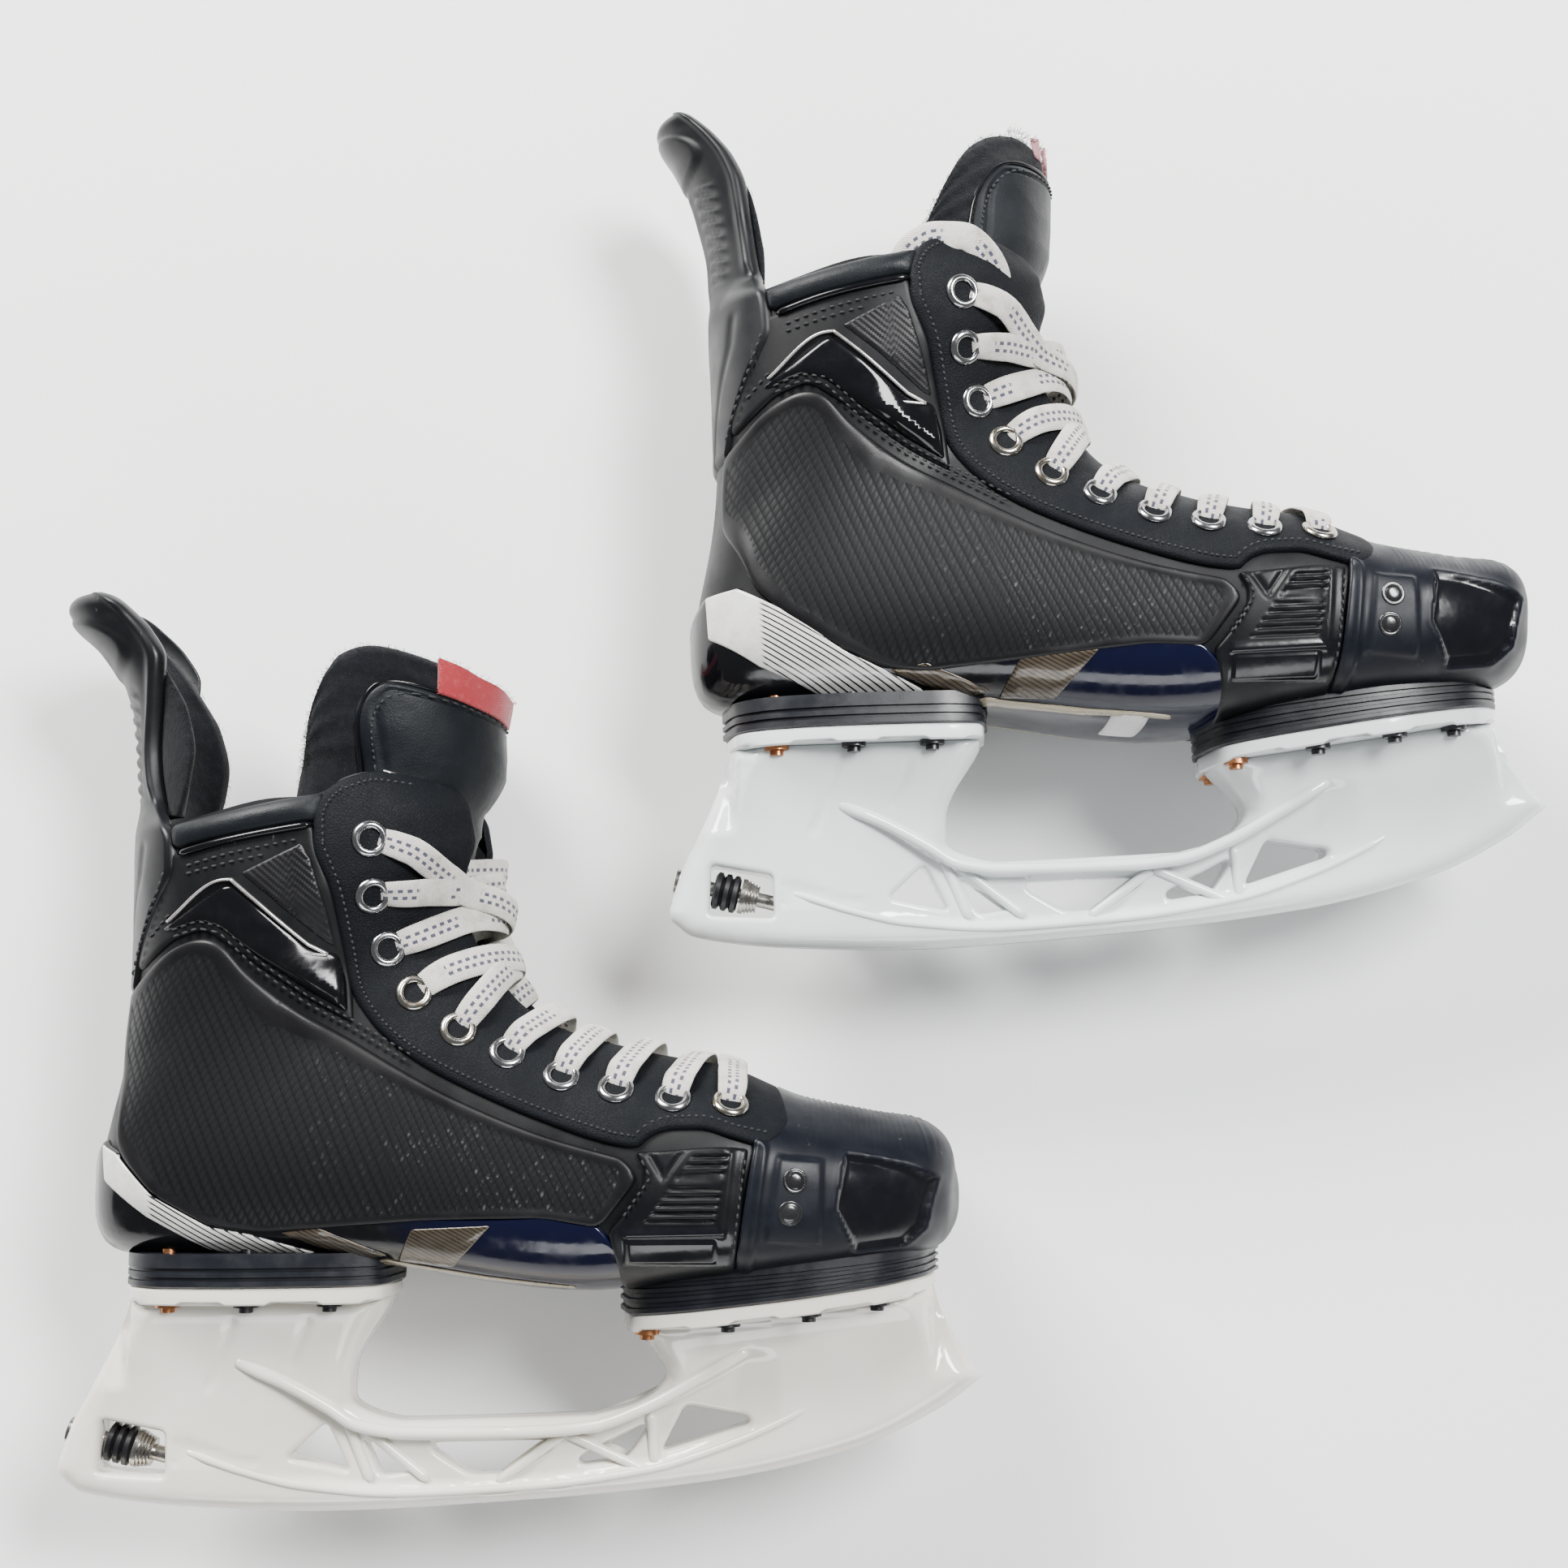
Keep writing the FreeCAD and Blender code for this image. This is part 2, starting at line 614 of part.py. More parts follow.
def holder():
    """The runner holder: two towers, the open bridge, the flanges and the runner slot."""
    side = curved_prism(HOLDER_SIDE, -50, 50)
    x0, z0, x1, z1 = TOE_SLOPE
    lean = (z1 - z0) / (x1 - x0)
    heel = side.common(flare(HEEL_TOWER_HALF_W, -5, TOWERS_MEET_X, 0))
    front_space = flare(FRONT_TOWER_HALF_W, 0, 170, lean)
    front_from = TOWERS_MEET_X - 5
    front_space.translate(V(front_from, 0, slope_z(front_from) - HEEL_TOP_Z))
    front = side.common(front_space)
    front = front.common(Part.makeBox(170, 100, 100, V(front_from, -50, -5)))
    heel = heel.common(Part.makeBox(TOWERS_MEET_X + 5.01, 100, 100, V(-5, -50, -5)))
    plans = plan_prism(HEEL_PLAN, 40, 80).fuse(plan_prism(FRONT_PLAN, 40, 80))
    low = Part.makeBox(320, 100, 60, V(-10, -50, -10))
    stems = heel.fuse(front).common(plans.fuse(low))
    heel_flange = plan_prism(HEEL_PLAN, HEEL_TOP_Z - FLANGE_T, HEEL_TOP_Z)
    band = side_prism(
        [(x0, z0 - FLANGE_T), (x0, z0), (x1, z1), (x1, z1 - FLANGE_T)], -50, 50
    )
    front_flange = plan_prism(FRONT_PLAN, 40, 90).common(band)
    body = stems.fuse(heel_flange).fuse(front_flange)
    for window in WINDOWS + [LOCK_WINDOW]:
        body = body.cut(side_prism(window))
    half_slot = RUNNER_SLOT_W / 2
    slot = curved_prism(
        [
            [(5, 4)],
            [(5, 19), (46, 1.8 + RUNNER_SLOT_DEPTH), (86, RUNNER_SLOT_DEPTH)],
            [(150, 3 + RUNNER_SLOT_DEPTH), (212, 17.6), (256, 27), (290, 42)],
            [(290, -8)],
            [(5, -8)],
        ],
        -half_slot,
        half_slot,
    )
    return body.cut(slot)


def grown(plan, ends=1.2, wide=1.03):
    """The plan of a flange, made a little longer at both ends and wider."""
    low, high = plan[0][0], plan[-1][0]
    near = 0.1 * (high - low)
    out = []
    for x, y in plan:
        move = -ends if x < low + near else ends if x > high - near else 0.0
        out.append((x + move, y * wide))
    return out


def riser(points, low, plan):
    """A rubber spacer between a flange and the sole."""
    return side_prism(points).common(plan_prism(plan, low, 90))


def join_holder(parts, outer):
    """The risers and the rivets that hold the holder to the sole."""
    body = holder()
    x0, z0, x1, z1 = TOE_SLOPE
    heel = riser([(15, HEEL_TOP_Z), (15, 84.5), (115, 84.5), (115, HEEL_TOP_Z)],
                 60, grown(HEEL_PLAN))
    start, end = x0 - 4, x1 + 4
    toe = riser([(start, slope_z(start)), (start, 77), (end, 84.5), (end, slope_z(end))],
                50, grown(FRONT_PLAN))
    skin = outer.fuse(boot_solid(SKIN_T))
    heel = only_solids(heel.cut(skin))
    toe = only_solids(toe.cut(skin))
    shanks = []
    pins = {"copper": [], "steel": []}
    for x, y, metal in RIVETS:
        seat = (HEEL_TOP_Z if x < 150 else slope_z(x)) - FLANGE_T
        for side in (-1, 1):
            start = V(x, side * y, seat - 3.5)
            top = boot_point(key_at(x, 80), 180).z + RIVET_BITE
            shank = Part.makeCylinder(RIVET_R, top - start.z, start)
            head = Part.makeCylinder(RIVET_HEAD_R, 1.8, V(x, side * y, seat - 1.8))
            pins[metal].append(head.fuse(shank))
            shanks.append(Part.makeCylinder(RIVET_HEAD_R + 0.6, 18, V(x, side * y, seat - 18)))
            shanks.append(Part.makeCylinder(RIVET_R, 60, V(x, side * y, seat - 5)))
    holes = Part.makeCompound(shanks)
    parts["holder"] = only_solids(body.cut(holes))
    parts["heel_riser"] = only_solids(heel.cut(holes))
    parts["toe_riser"] = only_solids(toe.cut(holes))
    for name in ("outsole", "toe_cap", "forefoot_guards"):
        parts[name] = only_solids(parts[name].cut(holes))
    pocket = Part.makeCompound(pins["copper"] + pins["steel"])
    parts["boot_shell"] = only_solids(parts["boot_shell"].cut(pocket))
    parts["copper_rivets"] = Part.makeCompound(pins["copper"])
    parts["steel_rivets"] = Part.makeCompound(pins["steel"])


def lock_place(shape):
    """Puts a shape drawn along +Z from the origin onto the blade lock's axis."""
    turn = FreeCAD.Rotation(V(0, 1, 0), 90 + LOCK_SLOPE_DEG)
    shape.Placement = FreeCAD.Placement(LOCK_ORIGIN, turn)
    return shape


def turned(profile, bore):
    """A round part with that (height, radius) profile and a bore."""
    ring = [V(bore, 0, profile[0][0])] + [V(r, 0, h) for h, r in profile]
    ring += [V(bore, 0, profile[-1][0])]
    face = Part.Face(Part.makePolygon(ring + ring[:1]))
    return face.revolve(V(0, 0, 0), V(0, 0, 1), 360)


def blade_lock(parts):
    """The lock bolt, its thumb wheel and the tapered collar that the wheel drives."""
    head = Part.makeCylinder(4.0, 3.0, V(0, 0, 0))
    socket = side_prism([(-1.6, -1), (1.6, -1), (1.6, 1.6), (-1.6, 1.6)], -1.6, 1.6)
    bolt = head.cut(socket).fuse(Part.makeCylinder(LOCK_BOLT_R, 38, V(0, 0, 2.5)))
    ridges = []
    ridge_pitch = 2.9
    start = 13.2
    for i in range(3):
        low = start + i * ridge_pitch
        ridges += [(low, LOCK_WHEEL_R - 1.3), (low + 0.7, LOCK_WHEEL_R)]
        ridges += [(low + 2.1, LOCK_WHEEL_R), (low + 2.8, LOCK_WHEEL_R - 1.3)]
    wheel = turned(ridges, LOCK_BOLT_R + 0.08)
    collar_start = 22.4
    grooves = [(collar_start, 5.9), (collar_start + 1.6, 5.9)]
    groove_pitch = 1.1
    for i in range(4):
        low = collar_start + 1.6 + i * groove_pitch
        radius = 5.6 - i * 0.35
        grooves += [(low + 0.1, radius - 0.35), (low + 0.5, radius - 0.35)]
        grooves += [(low + 0.6, radius), (low + 1.0, radius)]
    collar = turned(grooves, LOCK_BOLT_R + 0.08)
    bores = Part.makeCylinder(4.3, 14, V(0, 0, -10)).fuse(Part.makeCylinder(4.0, 3.0))
    bores = bores.fuse(Part.makeCylinder(LOCK_BOLT_R, 40.5))
    parts["holder"] = only_solids(parts["holder"].cut(lock_place(bores)))
    parts["lock_bolt"] = lock_place(bolt)
    parts["lock_wheel"] = lock_place(wheel)
    parts["lock_collar"] = lock_place(collar)


def right_skate():
    """Every piece of the right skate in its own frame."""
    parts, outer = boot_parts()
    frames = eyelet_frames()
    fit_eyelets(parts, frames)
    parts["laces"] = laces(frames)
    parts.update(tongue_above())
    parts.update(tendon_guard())
    join_holder(parts, outer)
    blade_lock(parts)
    studs = []
    for side in (-1, 1):
        for x, z in STUDS:
            key = key_at(x, z)
            centre = boot_point(key, side * 90, SKIN_T)
            studs.append(Part.makeCylinder(STUD_R, 1.2, V(x, centre.y, z), V(0, side, 0)))
    parts["toe_cap_studs"] = Part.makeCompound(studs)
    parts["toe_cap"] = only_solids(parts["toe_cap"].cut(parts["toe_cap_studs"]))
    return parts


def flat_lay(shape, shift_x, shift_y, yaw_deg):
    """Lays a skate on its left side, level, at its place on the floor."""
    lay = FreeCAD.Placement(V(0, 0, 0), FreeCAD.Rotation(V(1, 0, 0), -90))
    turn = FreeCAD.Placement(V(shift_x, shift_y, 0), FreeCAD.Rotation(V(0, 0, 1), yaw_deg))
    shape = shape.copy()
    shape.Placement = turn.multiply(lay).multiply(shape.Placement)
    return shape


def bounds(shapes):
    """The smallest box round the shapes."""
    box = FreeCAD.BoundBox()
    for shape in shapes:
        box.add(shape.optimalBoundingBox())
    return box


def main():
    right = right_skate()
    left = {name: shape.mirror(V(0, 0, 0), V(0, 1, 0)) for name, shape in right.items()}
    del left["tongue_label"]
    loop = lace_loop().mirror(V(0, 0, 0), V(0, 1, 0))
    left["laces"] = Part.makeCompound(left["laces"].Solids + [loop])
    layout = (("right", right, 0, 0, 0), ("left", left, LEFT_SHIFT_X, LEFT_SHIFT_Y, LEFT_YAW_DEG))
    placed = {}
    for foot, parts, shift_x, shift_y, yaw in layout:
        laid = {name: flat_lay(shape, shift_x, shift_y, yaw) for name, shape in parts.items()}
        low = bounds(laid.values()).ZMin
        for name, shape in laid.items():
            shape.translate(V(0, 0, -low))
            placed[f"{name}_{foot}"] = shape
        print(foot, "lifted by", round(-low, 3))
    box = bounds(placed.values())
    centre = V((box.XMin + box.XMax) / 2, (box.YMin + box.YMax) / 2, 0)
    print("origin at", round(centre.x, 3), round(centre.y, 3))
    print("size", round(box.XLength, 1), round(box.YLength, 1), round(box.ZLength, 1))
    os.makedirs("parts", exist_ok=True)
    for name, shape in placed.items():
        shape.translate(centre * -1)
        shape.exportStep(f"parts/{name}.step")


main()
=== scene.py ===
"""Looks of a pair of hockey skates that lie flat on their sides.

Each skate is drawn in its own frame in millimetres: x from heel to toe, y to the inner side
of the foot, z from the ice up to the collar. Foot.world turns that into the row's frame.
"""

import json
import math
import random

import bmesh
import bpy
import numpy as np
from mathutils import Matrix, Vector
from mathutils.geometry import delaunay_2d_cdt


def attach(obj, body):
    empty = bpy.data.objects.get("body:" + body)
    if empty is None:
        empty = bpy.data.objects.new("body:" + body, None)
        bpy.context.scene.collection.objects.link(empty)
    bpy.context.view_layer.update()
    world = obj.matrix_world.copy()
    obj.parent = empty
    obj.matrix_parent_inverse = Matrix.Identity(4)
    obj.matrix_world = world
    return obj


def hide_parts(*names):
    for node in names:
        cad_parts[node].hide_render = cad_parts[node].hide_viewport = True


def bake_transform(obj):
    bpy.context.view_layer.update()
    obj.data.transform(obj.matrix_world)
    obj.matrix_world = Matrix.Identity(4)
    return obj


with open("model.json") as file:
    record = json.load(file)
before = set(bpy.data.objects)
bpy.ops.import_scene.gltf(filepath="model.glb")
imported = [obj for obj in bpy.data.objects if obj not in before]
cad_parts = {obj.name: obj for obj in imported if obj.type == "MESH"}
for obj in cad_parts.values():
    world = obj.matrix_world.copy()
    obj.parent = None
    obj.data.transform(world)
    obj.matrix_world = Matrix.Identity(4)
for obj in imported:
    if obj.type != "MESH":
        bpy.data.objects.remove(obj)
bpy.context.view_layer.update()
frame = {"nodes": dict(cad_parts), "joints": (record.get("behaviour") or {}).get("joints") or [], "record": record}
MM = 0.001  # a millimetre in metres
UV_UNIT = 100  # millimetres in one unit of the side-view uv

# --- where things are ---------------------------------------------------------------------

LOCK_SLOPE_DEG = 15.0
FOLD_X, FOLD_Z = 145.2, 235.8  # the tongue's fold line in the skate's own frame
JOINTS = {j["name"]: j for j in frame["joints"]}


class Foot:
    """One skate's place in the row's frame, read from its joints."""

    def __init__(self, name):
        self.name = name
        self.mirror = 1 if name == "right" else -1
        axis = JOINTS[f"lock_turn_{name}"]["axis"]
        yaw = math.atan2(axis[1], axis[0]) + math.radians(LOCK_SLOPE_DEG)
        self.ahead = np.array([math.cos(yaw), math.sin(yaw), 0.0])
        self.up = np.array([-math.sin(yaw), math.cos(yaw), 0.0])
        self.side = np.array([0.0, 0.0, -1.0 * self.mirror])
        fold = np.array(JOINTS[f"tongue_fold_{name}"]["pos_m"])
        self.origin = fold - MM * (FOLD_X * self.ahead + FOLD_Z * self.up)

    def world(self, points):
        p = np.atleast_2d(np.asarray(points, float)) * MM
        return self.origin + p[:, :1] * self.ahead + p[:, 1:2] * self.side + p[:, 2:] * self.up


FEET = [Foot("right"), Foot("left")]

# --- the boot's surface -------------------------------------------------------------------

PIVOT_X, PIVOT_Z = 175.0, 230.0  # the centre of the fan of sections from instep to heel
SHELL_T, LINER_T = 4.5, 4.0  # thickness of the shell and of the liner
# Key: distance ahead of the pivot, or minus the fan's angle; reach to the sole and to the instep;
# half width; shift to the inner side; squareness of the sole side and of the instep side.
SECTIONS = np.array([
    (114.8, 134.5, 131.5, 3.0, 5.0, 2.1, 2.1),
    (114.3, 139.0, 127.0, 9.0, 5.0, 2.1, 2.1),
    (113, 142.0, 124.0, 14.0, 5.0, 2.2, 2.2),
    (109, 146.5, 115.0, 26.0, 5.0, 2.4, 2.2),
    (101, 149.3, 109.3, 34.5, 4.5, 2.8, 2.3),
    (87, 150.5, 106.2, 41.5, 3.0, 3.0, 2.3),
    (65, 152.5, 101.5, 47.0, 1.0, 3.2, 2.3),
    (40, 155.3, 91.0, 49.5, 0.0, 3.2, 2.3),
    (15, 158.0, 85.5, 48.5, 0.0, 3.0, 2.2),
    (0, 159.2, 81.0, 46.5, 0.0, 3.0, 2.2),
    (-10, 159.8, 77.0, 44.5, 0.0, 3.0, 2.2),
    (-20, 162.5, 72.0, 42.0, 0.0, 3.0, 2.2),
    (-30, 172.5, 64.0, 40.0, 0.0, 2.9, 2.2),
    (-38, 188.5, 57.5, 38.5, 0.0, 2.8, 2.2),
    (-44, 206.0, 51.5, 37.5, 0.0, 2.6, 2.2),
    (-48, 214.5, 48.5, 37.0, 0.0, 2.5, 2.2),
    (-53, 204.0, 46.0, 37.5, 0.0, 2.4, 2.2),
    (-60, 180.5, 42.5, 40.5, 0.0, 2.3, 2.2),
    (-70, 162.5, 38.5, 45.5, 0.0, 2.3, 2.2),
    (-80, 154.5, 38.5, 47.0, 0.0, 2.3, 2.2),
    (-90, 152.0, 42.0, 45.5, 0.0, 2.3, 2.2),
    (-96, 152.0, 46.0, 44.5, 0.0, 2.3, 2.2),
])[::-1]
KEYS = SECTIONS[:, 0]


def smooth_slopes(x, y):
    """Slopes for a smooth curve through the rows of y that doesn't overshoot them."""
    rise = np.diff(y, axis=0) / np.diff(x)[:, None]
    slope = np.vstack([rise[:1], np.zeros_like(rise[1:]), rise[-1:]])
    a, b = rise[:-1], rise[1:]
    same = a * b > 0
    slope[1:-1] = np.where(same, 2 * a * b / np.where(same, a + b, 1), 0)
    return slope


SLOPES = smooth_slopes(KEYS, SECTIONS[:, 1:])


def hermite(table_x, table_y, slopes, at):
    """The rows of the smooth curve through a table, with those slopes, at the places at."""
    at = np.clip(at, table_x[0], table_x[-1])
    i = np.clip(np.searchsorted(table_x, at, side="right") - 1, 0, len(table_x) - 2)
    span = (table_x[i + 1] - table_x[i])[..., None]
    t = ((at - table_x[i])[..., None]) / span
    y0, y1 = table_y[i], table_y[i + 1]
    m0, m1 = slopes[i] * span, slopes[i + 1] * span
    return (2 * t**3 - 3 * t**2 + 1) * y0 + (t**3 - 2 * t**2 + t) * m0 \
        + (3 * t**2 - 2 * t**3) * y1 + (t**3 - t**2) * m1


def curve(points, at):
    """A smooth one-valued curve through the points (x, y), read at those x."""
    table = np.array(sorted(points), float)
    x, y = table[:, 0], table[:, 1:]
    return hermite(x, y, smooth_slopes(x, y), np.asarray(at, float))[..., 0]


def section(key):
    """far, near, half, shift, sole power and instep power at those keys."""
    return np.moveaxis(hermite(KEYS, SECTIONS[:, 1:], SLOPES, key), -1, 0)


def boot_raw(key, turn, offset=0.0):
    """Points of the boot's surface; turn is 0 at the instep, 90 inside and 180 at the sole."""
    key, turn, offset = np.broadcast_arrays(
        np.asarray(key, float), np.asarray(turn, float), np.asarray(offset, float)
    )
    far, near, half, shift, sole, instep = section(key)
    far, near, half = far + offset, near - offset, np.maximum(half + offset, 0.05)
    middle = (far + near) / 2
    angle = np.radians(turn)
    c, s = np.cos(angle), np.sin(angle)
    power = np.where(c >= 0, instep, sole)
    reach = np.where(c >= 0, near, far) - middle
    out = middle + reach * np.abs(c) ** (2 / power)
    across = shift + half * np.sign(s) * np.abs(s) ** (2 / power)
    fan = np.radians(np.maximum(-key, 0))
    x = PIVOT_X + np.maximum(key, 0) - out * np.sin(fan)
    z = PIVOT_Z - out * np.cos(fan)
    return np.stack([x, across, z], -1)


def unit(v):
    return v / np.maximum(np.linalg.norm(v, axis=-1, keepdims=True), 1e-9)


def rise(value, start, width):
    """0 up to start, 1 from start + width, and straight between."""
    return np.clip((value - start) / width, 0, 1)


def fall(value, end, width):
    """1 up to end - width, 0 from end, and straight between."""
    return np.clip((end - value) / width, 0, 1)


def bell(value, width):
    """1 at zero, fading to either side over about that width."""
    return np.exp(-((value / width) ** 2))


def ease(t):
    """A step from 0 to 1 with soft ends."""
    return t * t * (3 - 2 * t)


def lattice(rows, columns):
    """Each row's value and each column's value at every point of a grid."""
    return np.meshgrid(rows, columns, indexing="ij")


def boot(key, turn, offset=0.0):
    """Points that lie squarely offset from the boot's surface, and the outward directions."""
    key, turn, offset = np.broadcast_arrays(
        np.asarray(key, float), np.asarray(turn, float), np.asarray(offset, float)
    )
    base = boot_raw(key, turn)
    a = boot_raw(key, turn + 1.2) - boot_raw(key, turn - 1.2)
    b = boot_raw(key + 0.6, turn) - boot_raw(key - 0.6, turn)
    normal = unit(np.cross(a, b))
    away = boot_raw(key, turn, 1.0) - base
    normal = normal * np.sign((normal * away).sum(-1, keepdims=True) + 1e-9)
    return base + normal * offset[..., None], normal


def side_key(x, z):
    """The section key of side-view points."""
    x, z = np.asarray(x, float), np.asarray(z, float)
    return np.where(x >= PIVOT_X, x - PIVOT_X, -np.degrees(np.arctan2(PIVOT_X - x, PIVOT_Z - z)))


def side_turn(x, z):
    """The turn of side-view points, from 0 at the instep to 180 at the sole."""
    x, z = np.asarray(x, float), np.asarray(z, float)
    key = side_key(x, z)
    far, near, _, _, sole, instep = section(key)
    out = np.where(x >= PIVOT_X, PIVOT_Z - z, np.hypot(PIVOT_X - x, PIVOT_Z - z))
    middle = (far + near) / 2
    up = (out - middle) / np.where(out < middle, near - middle, far - middle)
    up = np.clip(up, 0, 1)
    high = np.degrees(np.arccos(up ** (instep / 2)))
    low = 180 - np.degrees(np.arccos(up ** (sole / 2)))
    return np.where(out < middle, high, low)


def on_boot(line, side, height):
    """Points over a side-view line on one side of the boot, and the outward directions."""
    x, z = np.asarray(line, float).T
    return boot(side_key(x, z), side_turn(x, z) * side, height)


# --- making meshes ------------------------------------------------------------------------


def build(foot, name, points, faces, material, body="skate", uv=None, replaces=(), slot=None):
    """A piece from points in the skate's frame; its uv is the side view unless given."""
    mesh = bpy.data.meshes.new(name)
    mesh.from_pydata(foot.world(points).tolist(), [], [list(map(int, f)) for f in faces])
    mesh.validate()
    work = bmesh.new()
    work.from_mesh(mesh)
    bmesh.ops.recalc_face_normals(work, faces=work.faces)
    work.to_mesh(mesh)
    work.free()
    if uv is None:
        uv = np.asarray(points)[:, [0, 2]] / UV_UNIT
    layer = mesh.uv_layers.new(name="side")
    corner = np.zeros(len(mesh.loops), np.int32)
    mesh.loops.foreach_get("vertex_index", corner)
    layer.data.foreach_set("uv", np.asarray(uv, np.float32)[corner].ravel())
    mesh.shade_smooth()
    mesh.materials.append(material)
    piece = bpy.data.objects.new(f"{name}_{foot.name}", mesh)
    bpy.context.scene.collection.objects.link(piece)
    if body:
        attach(piece, f"{body}_{foot.name}")
    for node in replaces:
        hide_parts(f"{node}_{foot.name}")
    return piece


def add_sharpness(piece, degrees):
    """Keeps edges sharper than that angle crisp."""
    piece.data.set_sharp_from_angle(angle=math.radians(degrees))


def resample(points, step, closed=True):
    """The same line with points about step apart; corners are kept."""
    points = np.asarray(points, float)
    ends = np.roll(points, -1, axis=0) if closed else points[1:]
    out = []
    for a, b in zip(points if closed else points[:-1], ends):
        n = max(1, int(round(np.linalg.norm(b - a) / step)))
        out += [a + (b - a) * k / n for k in range(n)]
    if not closed:
        out.append(points[-1])
    return np.array(out)


def rounded(points, radius):
    """The closed outline with each corner turned into a short curve."""
    points = np.asarray(points, float)
    count = len(points)
    out = []
    for i in range(count):
        p, a, b = points[i], points[i - 1], points[(i + 1) % count]
        ra = min(radius, 0.45 * np.linalg.norm(a - p))
        rb = min(radius, 0.45 * np.linalg.norm(b - p))
        start, end = p + unit(a - p) * ra, p + unit(b - p) * rb
        for t in np.linspace(0, 1, 6):
            out.append((1 - t) ** 2 * start + 2 * t * (1 - t) * p + t**2 * end)
    return np.array(out)


def inside(points, outline):
    """Whether each point lies inside the closed outline."""
    x, y = points[:, :1], points[:, 1:]
    ax, ay = outline[:, 0][None], outline[:, 1][None]
    bx, by = np.roll(ax, -1, 1), np.roll(ay, -1, 1)
    crosses = (ay > y) != (by > y)
    where = ax + (y - ay) * (bx - ax) / np.where(by == ay, 1e-12, by - ay)
    return (crosses & (x < where)).sum(1) % 2 == 1


def line_distance(points, line, closed=False):
    """How far each point is from the line."""
    a = line if closed else line[:-1]
    b = np.roll(line, -1, 0) if closed else line[1:]
    best = np.full(len(points), np.inf)
    for start in range(0, len(points), 4000):
        p = points[start:start + 4000, None, :]
        d = (b - a)[None]
        t = np.clip(((p - a[None]) * d).sum(-1) / np.maximum((d * d).sum(-1), 1e-12), 0, 1)
        away = np.linalg.norm(p - a[None] - t[..., None] * d, axis=-1)
        best[start:start + 4000] = away.min(1)
    return best


def fill(outline, spacing, rings=(0.35, 0.9, 1.7), holes=()):
    """Triangles inside an outline, with rows of points along its border.

    Returns the points, the triangles and each point's distance to the border.
    """
    loops = [outline, *holes]
    places = [np.asarray(loop) for loop in loops]
    edges = []
    at = 0
    for loop in loops:
        edges += [(at + i, at + (i + 1) % len(loop)) for i in range(len(loop))]
        at += len(loop)

    def free(points, least):
        keep = inside(points, outline)
        for hole in holes:
            keep &= ~inside(points, hole)
        points = points[keep]
        near = np.full(len(points), np.inf)
        for loop in loops:
            near = np.minimum(near, line_distance(points, loop, closed=True))
        return points[near >= least]

    for ring in rings:
        for loop in loops:
            along = unit(np.roll(loop, -1, 0) - np.roll(loop, 1, 0))
            across = np.stack([-along[:, 1], along[:, 0]], 1)
            for sign in (-1, 1):
                places.append(free(loop + across * ring * sign, ring * 0.93))
    low, high = outline.min(0), outline.max(0)
    rows = np.arange(low[1], high[1], spacing * 0.866)
    grid = []
    for k, y in enumerate(rows):
        across = np.arange(low[0] + (k % 2) * spacing / 2, high[0], spacing)
        grid.append(np.stack([across, np.full(len(across), y)], 1))
    last = rings[-1] if rings else 0
    places.append(free(np.concatenate(grid), last + spacing * 0.45))
    every = np.concatenate(places)
    verts, _, faces, *_ = delaunay_2d_cdt([Vector(p) for p in every], edges, [], 0, 1e-5)
    verts = np.array([tuple(v) for v in verts])
    faces = np.array([f for f in faces if len(f) == 3])
    middle = verts[faces].mean(1)
    keep = inside(middle, outline)
    for hole in holes:
        keep &= ~inside(middle, hole)
    faces = faces[keep]
    used, faces = np.unique(faces, return_inverse=True)
    faces = faces.reshape(-1, 3)
    verts = verts[used]
    near = np.full(len(verts), np.inf)
    for loop in loops:
        near = np.minimum(near, line_distance(verts, loop, closed=True))
    return verts, faces, np.where(near < 1e-3, 0.0, near)


def border_edges(faces):
    """The edges that only one triangle uses."""
    sides = np.concatenate([faces[:, [0, 1]], faces[:, [1, 2]], faces[:, [2, 0]]])
    ordered = np.sort(sides, axis=1)
    _, first, count = np.unique(ordered, axis=0, return_index=True, return_counts=True)
    return sides[first[count == 1]]


def closed_sheet(top, bottom, faces):
    """A closed body between two copies of one triangulated sheet."""
    count = len(top)
    rim = border_edges(faces)
    wall = np.concatenate([
        np.stack([rim[:, 1], rim[:, 0], rim[:, 0] + count], 1),
        np.stack([rim[:, 1], rim[:, 0] + count, rim[:, 1] + count], 1),
    ])
    every = np.concatenate([faces, faces[:, ::-1] + count, wall])
    return np.concatenate([top, bottom]), every


def crown(distance, edge, thick):
    """The height of a sheet with a rounded border."""
    t = 1 - np.clip(distance / edge, 0, 1)
    return thick * np.sqrt(np.clip(1 - t**2, 0, 1))


# The boot's surface unrolled: key and turn as roughly millimetres.
FAN_MM, TURN_MM = 1.9, 0.85


def unroll(key, turn):
    key = np.asarray(key, float)
    return np.stack([np.where(key < 0, key * FAN_MM, key), np.asarray(turn) * TURN_MM], -1)


def roll_back(laid):
    key = np.where(laid[:, 0] < 0, laid[:, 0] / FAN_MM, laid[:, 0])
    return key, laid[:, 1] / TURN_MM


